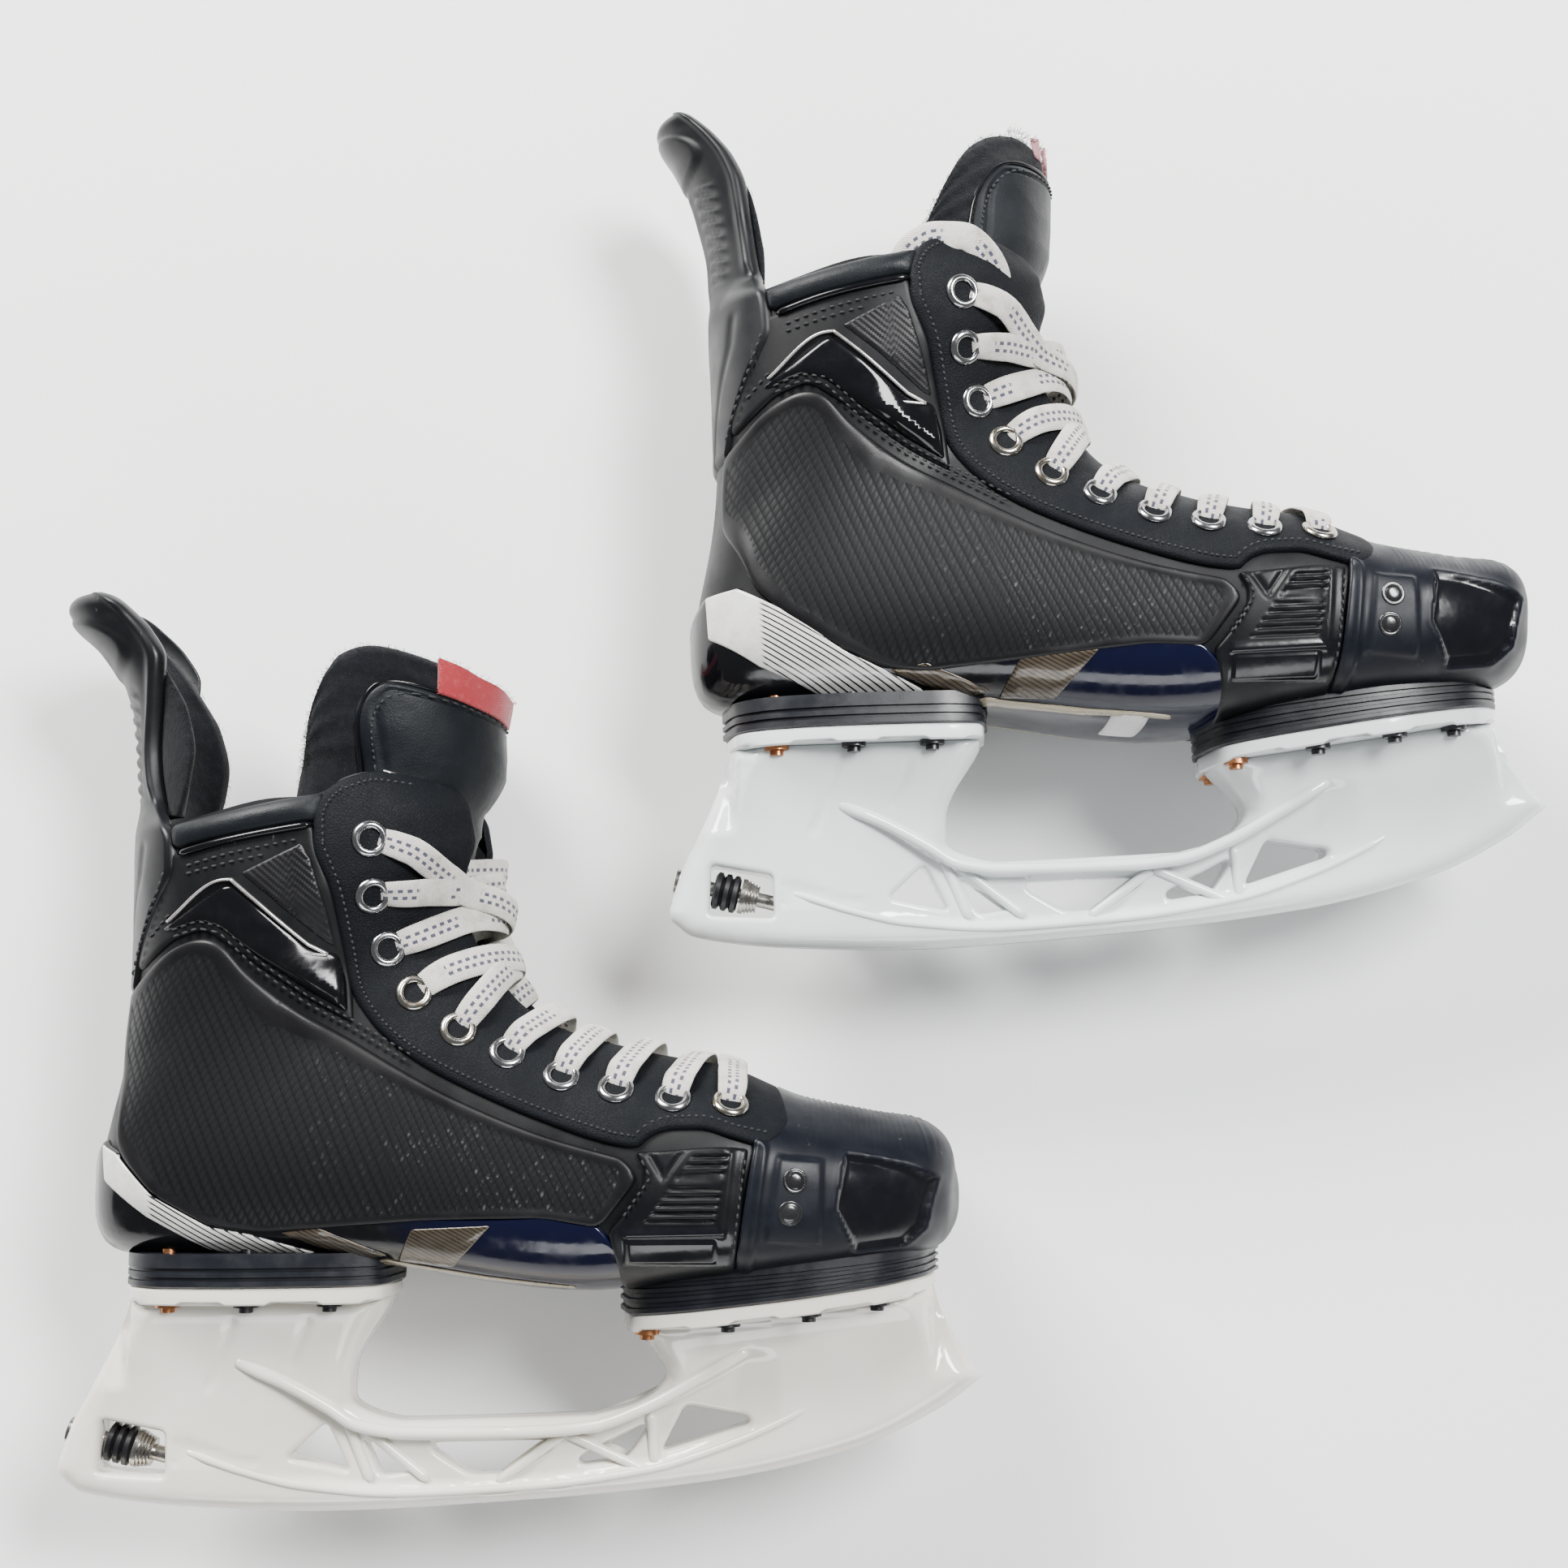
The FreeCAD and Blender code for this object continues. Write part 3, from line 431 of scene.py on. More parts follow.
def panel(foot, name, outline, side, material, base=0.0, thick=2.0, edge=1.4, spacing=2.4,
          relief=None, rings=(0.35, 0.9, 1.7), sink=0.7, **more):
    """A panel on one side of the boot: its unrolled outline, height and rounded border.

    side is -1 for the outer side of the foot and 1 for the inner side. relief(x, z) adds
    height away from the border.
    """
    laid, faces, distance = fill(outline, spacing, rings)
    key, turn = roll_back(laid)
    ground, _ = boot(key, turn * side)
    height = base + crown(distance, edge, thick)
    if relief is not None:
        height = height + relief(ground[:, 0], ground[:, 2]) * np.clip(distance / edge, 0, 1)
    return cover(foot, name, laid, faces, side, height, base - sink, material, **more)


def cover(foot, name, laid, faces, side, height, under, material, **more):
    """A closed sheet on one side of the boot, between the heights height and under."""
    key, turn = roll_back(laid)
    ground, _ = boot(key, turn * side)
    top, _ = boot(key, turn * side, height)
    bottom, _ = boot(key, turn * side, under)
    points, every = closed_sheet(top, bottom, faces)
    uv = np.tile(ground[:, [0, 2]] / UV_UNIT, (2, 1))
    return build(foot, name, points, every, material, uv=uv, **more)


def grid_faces(rows, columns, around=False):
    """Quads of a grid of points, row after row; around joins the last column to the first."""
    faces = []
    for i in range(rows - 1):
        for j in range(columns if around else columns - 1):
            a, b = i * columns + j, i * columns + (j + 1) % columns
            faces.append((a, b, b + columns, a + columns))
    return faces


def capped_faces(rows, columns):
    """Quads round a tube of points, row after row, and a face over each end."""
    faces = grid_faces(rows, columns, around=True)
    faces.append(tuple(range(columns))[::-1])
    faces.append(tuple(range((rows - 1) * columns, rows * columns)))
    return faces


def closed_grid(outer, inner, around=False):
    """A closed wall from two grids of points (rows, columns, 3)."""
    rows, columns = outer.shape[:2]
    faces = grid_faces(rows, columns, around)
    count = rows * columns
    every = list(faces) + [tuple(v + count for v in f[::-1]) for f in faces]
    for i in (0, rows - 1):
        for j in range(columns if around else columns - 1):
            a, b = i * columns + j, i * columns + (j + 1) % columns
            every.append((a, b, b + count, a + count))
    if not around:
        for j in (0, columns - 1):
            for i in range(rows - 1):
                a, b = i * columns + j, (i + 1) * columns + j
                every.append((a, b, b + count, a + count))
    return np.concatenate([outer.reshape(-1, 3), inner.reshape(-1, 3)]), every


def lathe(profile, centre, axis, segments=28):
    """A turned part: profile of (height, radius) from one end to the other."""
    axis = unit(np.asarray(axis, float))
    other = unit(np.cross(axis, [0.3, 1.0, 0.2]))
    third = np.cross(axis, other)
    points = []
    for height, radius in profile:
        for k in range(segments):
            a = 2 * math.pi * k / segments
            points.append(centre + axis * height + radius * (other * math.cos(a) + third * math.sin(a)))
    return np.array(points), capped_faces(len(profile), segments)


def joined(parts):
    """Several (points, faces) as one."""
    points, faces = [], []
    at = 0
    for p, f in parts:
        points.append(p)
        faces += [tuple(v + at for v in face) for face in f]
        at += len(p)
    return np.concatenate(points), faces


# --- materials ----------------------------------------------------------------------------


MATTE = 0.22  # specular level of worn matte black
# The woven panel's columns: their direction at the heel, how it turns forward, and their pitch.
WEAVE_X, WEAVE_Z = 0.93, 0.37
WEAVE_FLATTEN = 0.0016
WEAVE_PITCH = 2.9


class Look:
    """A material, with short names for the nodes that it uses most."""

    def __init__(self, name, colour, rough, **sockets):
        self.material = bpy.data.materials.new(name)
        self.material.use_nodes = True
        self.tree = self.material.node_tree
        self.shader = self.tree.nodes["Principled BSDF"]
        self.shader.inputs["Base Color"].default_value = (*colour, 1)
        self.shader.inputs["Roughness"].default_value = rough
        for socket, value in sockets.items():
            self.shader.inputs[socket.replace("_", " ")].default_value = value
        self.material.diffuse_color = (*colour, 1)
        self.places = {}

    def node(self, kind, **settings):
        node = self.tree.nodes.new(kind)
        for key, value in settings.items():
            setattr(node, key, value)
        return node

    def feed(self, socket, value):
        if isinstance(value, bpy.types.NodeSocket):
            self.tree.links.new(value, socket)
        else:
            socket.default_value = value

    def math(self, kind, *values):
        node = self.node("ShaderNodeMath", operation=kind)
        for socket, value in zip(node.inputs, values):
            self.feed(socket, value)
        return node.outputs[0]

    def plus(self, a, b):
        return self.math("ADD", a, b)

    def minus(self, a, b):
        return self.math("SUBTRACT", a, b)

    def times(self, a, b):
        return self.math("MULTIPLY", a, b)

    def over(self, a, b):
        return self.math("DIVIDE", a, b)

    def wave(self, value, pitch):
        """A sine wave of that pitch."""
        return self.math("SINE", self.times(value, 2 * math.pi / pitch))

    def object_place(self):
        if "object" not in self.places:
            self.places["object"] = self.node("ShaderNodeTexCoord").outputs["Object"]
        return self.places["object"]

    def side_place(self):
        """Side-view x and z in millimetres."""
        if "side" not in self.places:
            node = self.node("ShaderNodeUVMap", uv_map="side")
            split = self.node("ShaderNodeSeparateXYZ")
            self.tree.links.new(node.outputs[0], split.inputs[0])
            self.places["side"] = [self.times(split.outputs[k], UV_UNIT) for k in (0, 1)]
        return self.places["side"]

    def turned(self, degrees):
        """Side-view distances along and across a direction."""
        x, z = self.side_place()
        c, s = math.cos(math.radians(degrees)), math.sin(math.radians(degrees))
        along = self.plus(self.times(x, c), self.times(z, s))
        across = self.plus(self.times(x, -s), self.times(z, c))
        return along, across

    def noise(self, millimetres, detail=3.0, rough=0.55, stretch=None):
        """Grey noise with features of about that size."""
        node = self.node("ShaderNodeTexNoise")
        node.inputs["Scale"].default_value = 1000 / millimetres
        node.inputs["Detail"].default_value = detail
        node.inputs["Roughness"].default_value = rough
        place = self.object_place()
        if stretch:
            scale = self.node("ShaderNodeMapping")
            scale.inputs["Scale"].default_value = stretch
            self.tree.links.new(place, scale.inputs[0])
            place = scale.outputs[0]
        self.tree.links.new(place, node.inputs["Vector"])
        return node.outputs["Fac"]

    def ramp(self, value, low, high, start=0.0, end=1.0):
        """Value mapped from low..high to start..end, and held there."""
        node = self.node("ShaderNodeMapRange", interpolation_type="SMOOTHSTEP")
        for socket, number in zip(node.inputs[1:5], (low, high, start, end)):
            socket.default_value = number
        self.feed(node.inputs[0], value)
        return node.outputs[0]

    def mix(self, factor, a, b):
        """One colour over another."""
        node = self.node("ShaderNodeMix", data_type="RGBA")
        self.feed(node.inputs[0], factor)
        self.feed(node.inputs[6], (*a, 1) if isinstance(a, tuple) else a)
        self.feed(node.inputs[7], (*b, 1) if isinstance(b, tuple) else b)
        return node.outputs[2]

    def colour(self, value):
        self.feed(self.shader.inputs["Base Color"], value)
        return self

    def rough(self, value):
        self.feed(self.shader.inputs["Roughness"], value)
        return self

    def bump(self, height, millimetres, strength=1.0, then=None):
        """A bump that high, over any bump given as then."""
        node = self.node("ShaderNodeBump")
        node.inputs["Strength"].default_value = strength
        node.inputs["Distance"].default_value = millimetres * MM
        self.feed(node.inputs["Height"], height)
        if then is not None:
            self.tree.links.new(then, node.inputs["Normal"])
        self.tree.links.new(node.outputs[0], self.shader.inputs["Normal"])
        return node.outputs[0]


def plain_plastic(name, colour, rough, grain=0.4, depth=0.03, scuff=0.0, **sockets):
    """Moulded plastic: fine grain, uneven sheen, and pale scuffs if asked."""
    look = Look(name, colour, rough, **sockets)
    cloud = look.noise(22, 4)
    look.rough(look.ramp(cloud, 0.3, 0.75, max(0.03, rough - 0.09), rough + 0.1))
    first = look.bump(look.noise(grain, 2), depth)
    paler = tuple(min(1.0, c * 1.5 + 0.002) for c in colour)
    tone = look.mix(look.ramp(look.noise(9, 5, 0.7), 0.45, 0.8), colour, paler)
    if scuff:
        marks = look.ramp(look.noise(3.2, 6, 0.72, (1.0, 0.22, 1.0)), 0.66, 0.74)
        tone = look.mix(look.times(marks, scuff), tone, (0.19, 0.19, 0.19))
        look.bump(marks, 0.05, then=first)
    return look.colour(tone)


def make_leather(name, colour, rough, cell=0.9, depth=0.12, **sockets):
    """Coated microfibre: small pebbles, soft creases, and dust in the low places."""
    look = Look(name, colour, rough, **sockets)
    cells = look.node("ShaderNodeTexVoronoi", feature="DISTANCE_TO_EDGE")
    cells.inputs["Scale"].default_value = 1000 / cell
    look.tree.links.new(look.object_place(), cells.inputs["Vector"])
    pebble = look.ramp(cells.outputs["Distance"], 0.0, 0.22)
    first = look.bump(pebble, depth, 0.7)
    look.bump(look.noise(7, 4, 0.6), 0.35, 0.5, then=first)
    dust = look.ramp(look.noise(13, 6, 0.75), 0.5, 0.78, 0.0, 0.5)
    paler = tuple(c * 1.5 + 0.003 for c in colour)
    look.rough(look.ramp(look.noise(17, 4), 0.3, 0.8, rough - 0.1, rough + 0.12))
    return look.colour(look.mix(dust, colour, paler))


def make_carbon():
    """Woven panel: curved slanting columns of short tows at the heel, a tight checker forward; the grooves carry
    painted shade and the crests painted grey glints.
    """
    look = Look("carbon_weave", (0.008, 0.008, 0.009), 0.3, Specular_IOR_Level=0.2)
    x, z = look.side_place()
    forward = look.ramp(x, 104.0, 118.0)

    def cell(across, along, pitch, length, lean, sharp):
        """Height of a woven tow: a column's round back, cut into slanting dashes."""
        column = look.over(across, pitch)
        number = look.math("FLOOR", column)
        part = look.math("FRACT", column)
        walk = look.over(along, length)
        walk = look.plus(walk, look.times(number, 0.5))
        walk = look.plus(walk, look.times(part, lean))
        dash = look.math("FRACT", walk)
        wide = look.math("POWER", look.wave(part, 2), sharp)
        long = look.math("POWER", look.wave(dash, 2), 0.45)
        return look.times(wide, look.plus(look.times(long, 0.85), 0.15))

    # The columns turn a little from the heel forward: their number is a curved sum.
    from_heel = look.minus(x, 30.0)
    bend = look.times(look.times(from_heel, from_heel), -WEAVE_FLATTEN / 2)
    straight = look.plus(look.times(x, WEAVE_X), look.times(z, WEAVE_Z))
    curved = look.plus(straight, bend)
    along = look.minus(look.times(x, WEAVE_Z), look.times(z, WEAVE_X))
    heel = cell(curved, along, WEAVE_PITCH, 2.2, 0.9, 0.55)
    front = cell(curved, along, WEAVE_PITCH * 0.72, 2.0, 0.9, 0.5)
    mixed = look.node("ShaderNodeMix")
    for socket, value in zip((0, 2, 3), (forward, heel, front)):
        look.feed(mixed.inputs[socket], value)
    height = mixed.outputs[0]
    # Painted highlights: pale grey glints painted into the colour on the crests of the tows, in patches, more of
    # them towards the toe; silver is the mask of these painted glints.
    sparkle = look.ramp(look.noise(2.1, 2, 0.6), 0.52, 0.7)
    silver = look.times(look.ramp(height, 0.7, 1.0), sparkle)
    silver = look.times(silver, look.ramp(x, 70.0, 125.0, 0.06, 0.8))
    painted_glints = look.times(look.ramp(look.noise(14, 4, 0.6), 0.38, 0.7), silver)
    # Painted shade: the grooves between the tows are painted darker than their crests.
    base = look.mix(look.ramp(height, 0.2, 0.95), (0.001, 0.001, 0.0014), (0.0075, 0.008, 0.009))
    look.colour(look.mix(painted_glints, base, (0.1, 0.103, 0.106)))
    look.rough(look.ramp(height, 0.1, 0.95, 0.6, 0.42))
    look.bump(height, 0.16, 0.8)
    return look


def make_lace():
    """A flat woven lace with two rows of navy tracer stitches; its uv runs along and across."""
    look = Look("lace_weave", (0.62, 0.6, 0.56), 0.85, Sheen_Weight=0.25)
    along, across = look.side_place()

    def tracer(middle, shift):
        """Dashes along one row beside the lace's middle."""
        row = look.ramp(look.math("ABSOLUTE", look.minus(across, middle)), 0.5, 0.68, 1.0, 0.0)
        step = look.math("FRACT", look.plus(look.over(along, 2.9), shift))
        dash = look.ramp(look.math("ABSOLUTE", look.minus(step, 0.5)), 0.24, 0.3, 1.0, 0.0)
        return look.times(row, dash)

    navy = look.math("MAXIMUM", tracer(1.25, 0.0), tracer(-1.25, 0.5))
    patch = look.math("FRACT", look.over(along, 47.0))
    navy = look.times(navy, look.ramp(patch, 0.72, 0.76, 1.0, 0.0))
    dirt = look.ramp(look.noise(7.5, 5, 0.7), 0.42, 0.75, 0.0, 0.7)
    cloth = look.mix(dirt, (0.62, 0.6, 0.55), (0.3, 0.28, 0.24))
    look.colour(look.mix(look.times(navy, 0.92), cloth, (0.006, 0.009, 0.05)))
    ribs = look.wave(across, 0.85)
    picks = look.wave(along, 0.75)
    look.bump(look.times(ribs, picks), 0.16, 0.9)
    return look


def make_felt(name, colour):
    """Matted black or grey fibres."""
    look = Look(name, colour, 1.0, Sheen_Weight=0.12, Sheen_Roughness=0.5, Specular_IOR_Level=0.08)
    first = look.bump(look.noise(0.55, 4, 0.75), 0.5, 0.9)
    look.bump(look.noise(4.5, 4), 0.8, 0.6, then=first)
    paler = tuple(c * 2.0 + 0.002 for c in colour)
    return look.colour(look.mix(look.ramp(look.noise(3, 6, 0.8), 0.4, 0.75), colour, paler))


def make_holder(name, light, shade):
    """Glossy moulded plastic with hairline scuffs."""
    look = Look(name, (0.8, 0.79, 0.76), 0.16, Coat_Weight=0.5, Coat_Roughness=0.04,
                Subsurface_Weight=0.06, Subsurface_Radius=(0.004, 0.003, 0.002))
    tone = look.mix(look.ramp(look.noise(48, 3), 0.3, 0.75), light, shade)
    grime = look.ramp(look.noise(2.2, 6, 0.75, (1.0, 0.3, 1.0)), 0.7, 0.77, 0.0, 0.45)
    look.colour(look.mix(grime, tone, (0.42, 0.4, 0.36)))
    look.rough(look.ramp(look.noise(15, 4), 0.3, 0.8, 0.1, 0.27))
    look.bump(look.noise(11, 2), 0.12, 0.5)
    return look


def make_metal(name, colour, rough, tarnish, amount=0.5):
    """Metal with spots of tarnish."""
    look = Look(name, colour, rough, Metallic=1.0)
    spots = look.ramp(look.noise(1.8, 5, 0.7), 0.45, 0.7, 0.0, amount)
    look.colour(look.mix(spots, colour, tarnish))
    look.rough(look.ramp(look.noise(2.4, 3), 0.4, 0.8, rough, rough + 0.14))
    return look


def make_outsole():
    """Gloss sole: black heel, navy waist."""
    look = Look("outsole_gloss", (0.006, 0.006, 0.009), 0.16, Specular_IOR_Level=0.4)
    x, z = look.side_place()
    slope = look.plus(x, look.times(z, 0.5))
    navy = look.ramp(slope, 150.0, 172.0)
    look.colour(look.mix(navy, (0.003, 0.003, 0.004), (0.0022, 0.003, 0.016)))
    look.rough(look.ramp(look.noise(6, 5), 0.35, 0.8, 0.08, 0.26))
    look.bump(look.noise(13, 3), 0.25, 0.5)
    return look


LINE_SHARE = 0.3  # of the pitch of a printed band's black lines


def make_band(name, colour, lines=None, pitch=1.0, degrees=0.0, metallic=0.0):
    """A printed band, with thin black lines along it between the two x of lines, if given."""
    look = Look(name, colour, 0.32, Metallic=metallic, Coat_Weight=0.5, Coat_Roughness=0.08)
    tone = look.mix(look.ramp(look.noise(5, 5, 0.7), 0.4, 0.8, 0.0, 0.6), colour,
                    tuple(c * 0.6 for c in colour))
    if lines:
        _, across = look.turned(degrees)
        part = look.math("FRACT", look.over(across, pitch))
        x, _ = look.side_place()
        narrow = look.math("LESS_THAN", part, LINE_SHARE)
        from_x, to_x = lines
        part_way = look.times(look.ramp(x, from_x, from_x + 2),
                              look.ramp(x, to_x, to_x + 2, 1.0, 0.0))
        tone = look.mix(look.times(narrow, part_way), tone, (0.01, 0.01, 0.012))
    look.rough(look.ramp(look.noise(4, 4), 0.3, 0.8, 0.25, 0.45))
    return look.colour(tone)


def make_ribbed(name, colour, rough, pitch, degrees, depth, **sockets):
    """Moulded plastic or rubber with fine ribs in one direction."""
    look = Look(name, colour, rough, **sockets)
    _, across = look.turned(degrees)
    wave = look.wave(across, pitch)
    first = look.bump(look.ramp(wave, -0.4, 0.6), depth)
    look.bump(look.noise(0.8, 3), 0.04, 0.6, then=first)
    look.rough(look.ramp(look.noise(8, 4), 0.3, 0.8, rough - 0.08, rough + 0.12))
    paler = tuple(c * 1.7 + 0.006 for c in colour)
    return look.colour(look.mix(look.ramp(wave, 0.2, 1.0, 0.0, 0.7), colour, paler))


def make_label():
    """Red woven tape with fine ribs and a few plain pale threads."""
    look = Look("label_weave", (0.35, 0.01, 0.02), 0.75, Sheen_Weight=0.3)
    along, across = look.turned(-9.0)
    ribs = look.wave(across, 0.6)
    threads = look.wave(along, 0.9)
    look.bump(look.times(ribs, threads), 0.1, 0.9)
    wear = look.ramp(look.noise(2.4, 5, 0.75), 0.5, 0.72, 0.0, 0.6)
    return look.colour(look.mix(wear, (0.3, 0.004, 0.012), (0.42, 0.06, 0.07)))


BLACK = (0.004, 0.0042, 0.005)
LOOKS = {
    "shell": plain_plastic("shell_matte", BLACK, 0.46, scuff=0.2, Specular_IOR_Level=MATTE),
    "panel": make_carbon(),
    "panel_border": plain_plastic("panel_border", (0.0035, 0.0035, 0.0042), 0.42, scuff=0.15,
                                  Specular_IOR_Level=0.3),
    "badge": plain_plastic("badge_gloss", (0.003, 0.003, 0.004), 0.15, grain=7, depth=0.03,
                           Specular_IOR_Level=0.32),
    "eyestay": make_leather("eyestay_microfibre", (0.0032, 0.004, 0.0056), 0.62,
                            Specular_IOR_Level=0.12),
    "guard_plastic": plain_plastic("guard_satin", (0.0036, 0.004, 0.005), 0.4, scuff=0.25,
                                   Specular_IOR_Level=0.25),
    "forefoot": plain_plastic("forefoot_satin", (0.003, 0.0034, 0.0044), 0.4, scuff=0.3,
                              Specular_IOR_Level=0.2),
    "gloss": plain_plastic("window_gloss", (0.003, 0.0034, 0.005), 0.2, grain=6, depth=0.1,
                           Specular_IOR_Level=0.4),
    "toe_cap": plain_plastic("toe_cap_satin", (0.003, 0.004, 0.0072), 0.42, scuff=0.35,
                             Specular_IOR_Level=0.2),
    "stud": plain_plastic("stud_gloss", (0.008, 0.008, 0.009), 0.2, Coat_Weight=0.4),
    "outsole": make_outsole(),
    "felt": make_felt("felt_black", (0.0035, 0.0038, 0.0055)),
    "liner": make_felt("liner_cloth", (0.012, 0.013, 0.016)),
    "footbed": make_leather("footbed_cloth", (0.03, 0.03, 0.034), 0.8, cell=1.4),
    "tongue": make_leather("tongue_microfibre", (0.0042, 0.0056, 0.0075), 0.5, cell=1.1,
                           depth=0.03, Specular_IOR_Level=0.2),
    "label": make_label(),
    "lace": make_lace(),
    "eyelet": make_metal("eyelet_nickel", (0.4, 0.4, 0.41), 0.16, (0.2, 0.19, 0.18), 0.3),
    "brass": make_metal("eyelet_worn", (0.42, 0.41, 0.38), 0.18, (0.4, 0.29, 0.12), 0.7),
    "riser": make_ribbed("riser_rubber", (0.004, 0.005, 0.008), 0.42, 40.0, 0.0, 0.01),
    "holder": make_holder("holder_gloss", (0.76, 0.77, 0.76), (0.7, 0.7, 0.68)),
    "holder_right": make_holder("holder_cream", (0.78, 0.75, 0.69), (0.7, 0.66, 0.58)),
    "holder_left": make_holder("holder_cool", (0.74, 0.77, 0.77), (0.66, 0.69, 0.69)),
    "copper": make_metal("rivet_copper", (0.62, 0.27, 0.12), 0.3, (0.2, 0.07, 0.03), 0.7),
    "steel_rivet": make_metal("rivet_dark", (0.07, 0.07, 0.075), 0.35, (0.02, 0.02, 0.02)),
    "lock_steel": make_metal("lock_steel", (0.42, 0.4, 0.37), 0.22, (0.14, 0.1, 0.06)),
    "lock_black": plain_plastic("lock_rubber", (0.006, 0.006, 0.007), 0.35),
    "thread": make_leather("thread_black", (0.012, 0.013, 0.015), 0.7, cell=0.4),
    "silver": make_band("silver_trim", (0.5, 0.48, 0.47), metallic=0.8),
    "white_band": make_band("white_band", (0.66, 0.65, 0.63), (34.0, 300.0), 1.55, -31.0),
    "bronze": make_band("bronze_band", (0.085, 0.064, 0.04), (80.0, 300.0), 1.1, -28.0, 0.5),
    "gold": make_band("gold_band", (0.36, 0.31, 0.22), metallic=0.5),
    "ribbed": plain_plastic("badge_ribs", (0.005, 0.005, 0.006), 0.42, Specular_IOR_Level=0.3),
    "pink": make_leather("torn_tape", (0.42, 0.2, 0.22), 0.9, cell=0.5),
    "paper": make_leather("blank_sticker", (0.7, 0.7, 0.68), 0.6, cell=0.5, depth=0.02),
}
LOOK = {name: look.material for name, look in LOOKS.items()}


def dress_cad_nodes():
    """Gives every CAD node the material of its slot."""
    slots = {part["node"]: part["material_slot"] for part in frame["record"]["subparts"]}
    for name, node in frame["nodes"].items():
        material = LOOK[slots[name]]
        if not node.material_slots:
            node.data.materials.append(material)
        for slot in node.material_slots:
            slot.material = material


# --- boot panels --------------------------------------------------------------------------

OUTER, INNER = -1, 1
SKIN = 2.0
SIDES = ((OUTER, "lateral"), (INNER, "medial"))


def lay_flat(points):
    """Side-view points on the unrolled surface."""
    points = np.asarray(points, float)
    return unroll(side_key(points[:, 0], points[:, 1]), side_turn(points[:, 0], points[:, 1]))


def shape(points, corner, step):
    """A closed side-view outline with round corners, laid out flat."""
    return resample(lay_flat(resample(rounded(points, corner), 2.0)), step)


def throat_half(x, z):
    """Half the gap between the eyestays: wide at the collar, narrow at the toe."""
    return 27.0 - 0.0634 * ((x - z) * math.sqrt(0.5) + 130.0)


def throat_turn(key):
    """How far round its section an eyestay's front edge lies."""
    turns = np.linspace(2, 80, 160)
    points = boot_raw(key, turns)
    gap = points[:, 1] - throat_half(points[:, 0], points[:, 2])
    return float(np.interp(0.0, gap, turns))


def paint(piece, look, test):
    """Gives the polygons that the test accepts a second material."""
    piece.data.materials.append(LOOK[look])
    for polygon in piece.data.polygons:
        if test(polygon):
            polygon.material_index = 1


def capsule(a, b, normal, radius):
    """A small stitch from a to b that bows a little along the normal."""
    along = unit(b - a)
    across = unit(np.cross(along, normal))
    points = []
    rings = ((0.0, 0.35, -0.5), (0.2, 0.95, 0.35), (0.5, 1.0, 0.6), (0.8, 0.95, 0.35), (1.0, 0.35, -0.5))
    for t, wide, lift in rings:
        middle = a + (b - a) * t + normal * radius * lift
        for k in range(6):
            angle = math.pi * k / 3
            points.append(middle + radius * wide * (across * math.cos(angle) + normal * math.sin(angle)))
    return np.array(points), capped_faces(len(rings), 6)


STITCH_SHARE = 0.62  # a stitch's length over the pitch
STITCH_R = 0.42


def stitch_line(path, side, height, pitch=3.4):
    """Stitches along a side-view line on the boot."""
    line = resample(path, pitch, closed=False)
    parts = []
    for a, b in zip(line[:-1], line[1:]):
        ends = np.array([a + (b - a) * (0.5 - STITCH_SHARE / 2),
                         a + (b - a) * (0.5 + STITCH_SHARE / 2)])
        points, normals = on_boot(ends, side, height)
        parts.append(capsule(points[0], points[1], normals[0], STITCH_R))
    return parts


def shifted(path, distance):
    """A line moved sideways, to the left of its direction."""
    path = np.asarray(path, float)
    along = unit(np.gradient(path, axis=0))
    return path + np.stack([-along[:, 1], along[:, 0]], 1) * distance


def smooth_path(points, step=2.0):
    """A smooth open line through the points."""
    points = np.asarray(points, float)
    run = np.concatenate([[0], np.cumsum(np.linalg.norm(np.diff(points, axis=0), axis=1))])
    at = np.linspace(0, run[-1], max(3, int(run[-1] / step) + 1))
    slopes = smooth_slopes(run, points)
    return hermite(run, points, slopes, at)


def tube(points, radius, segments=8):
    """A round cord along the points, tapered at both ends."""
    points = np.asarray(points, float)
    along = unit(np.gradient(points, axis=0))
    up = np.tile([0.12, 1.0, 0.2], (len(points), 1))
    across = unit(np.cross(along, up))
    up = np.cross(across, along)
    out = []
    for i, p in enumerate(points):
        wide = radius * (0.45 if i in (0, len(points) - 1) else 1.0)
        for k in range(segments):
            a = 2 * math.pi * k / segments
            out.append(p + wide * (across[i] * math.cos(a) + up[i] * math.sin(a)))
    return np.array(out), capped_faces(len(points), segments)


def piping(path, side, height, radius):
    """A cord on the boot along a side-view line."""
    return tube(on_boot(resample(path, 1.5, closed=False), side, height)[0], radius)


def strip(path, side, height, width, thick):
    """A flat raised strip on the boot along a side-view line."""
    line = resample(path, 1.0, closed=False)
    left, right = shifted(line, width / 2), shifted(line, -width / 2)
    middle = [shifted(line, width * s) for s in (0.3, -0.3)]
    rows = []
    for edge, lift in ((left, -0.4), (left, thick * 0.5), (middle[0], thick), (middle[1], thick),
                       (right, thick * 0.5), (right, -0.4)):
        rows.append(on_boot(edge, side, height + lift)[0])
    grid = np.array(rows).transpose(1, 0, 2)
    return grid.reshape(-1, 3), capped_faces(*grid.shape[:2])


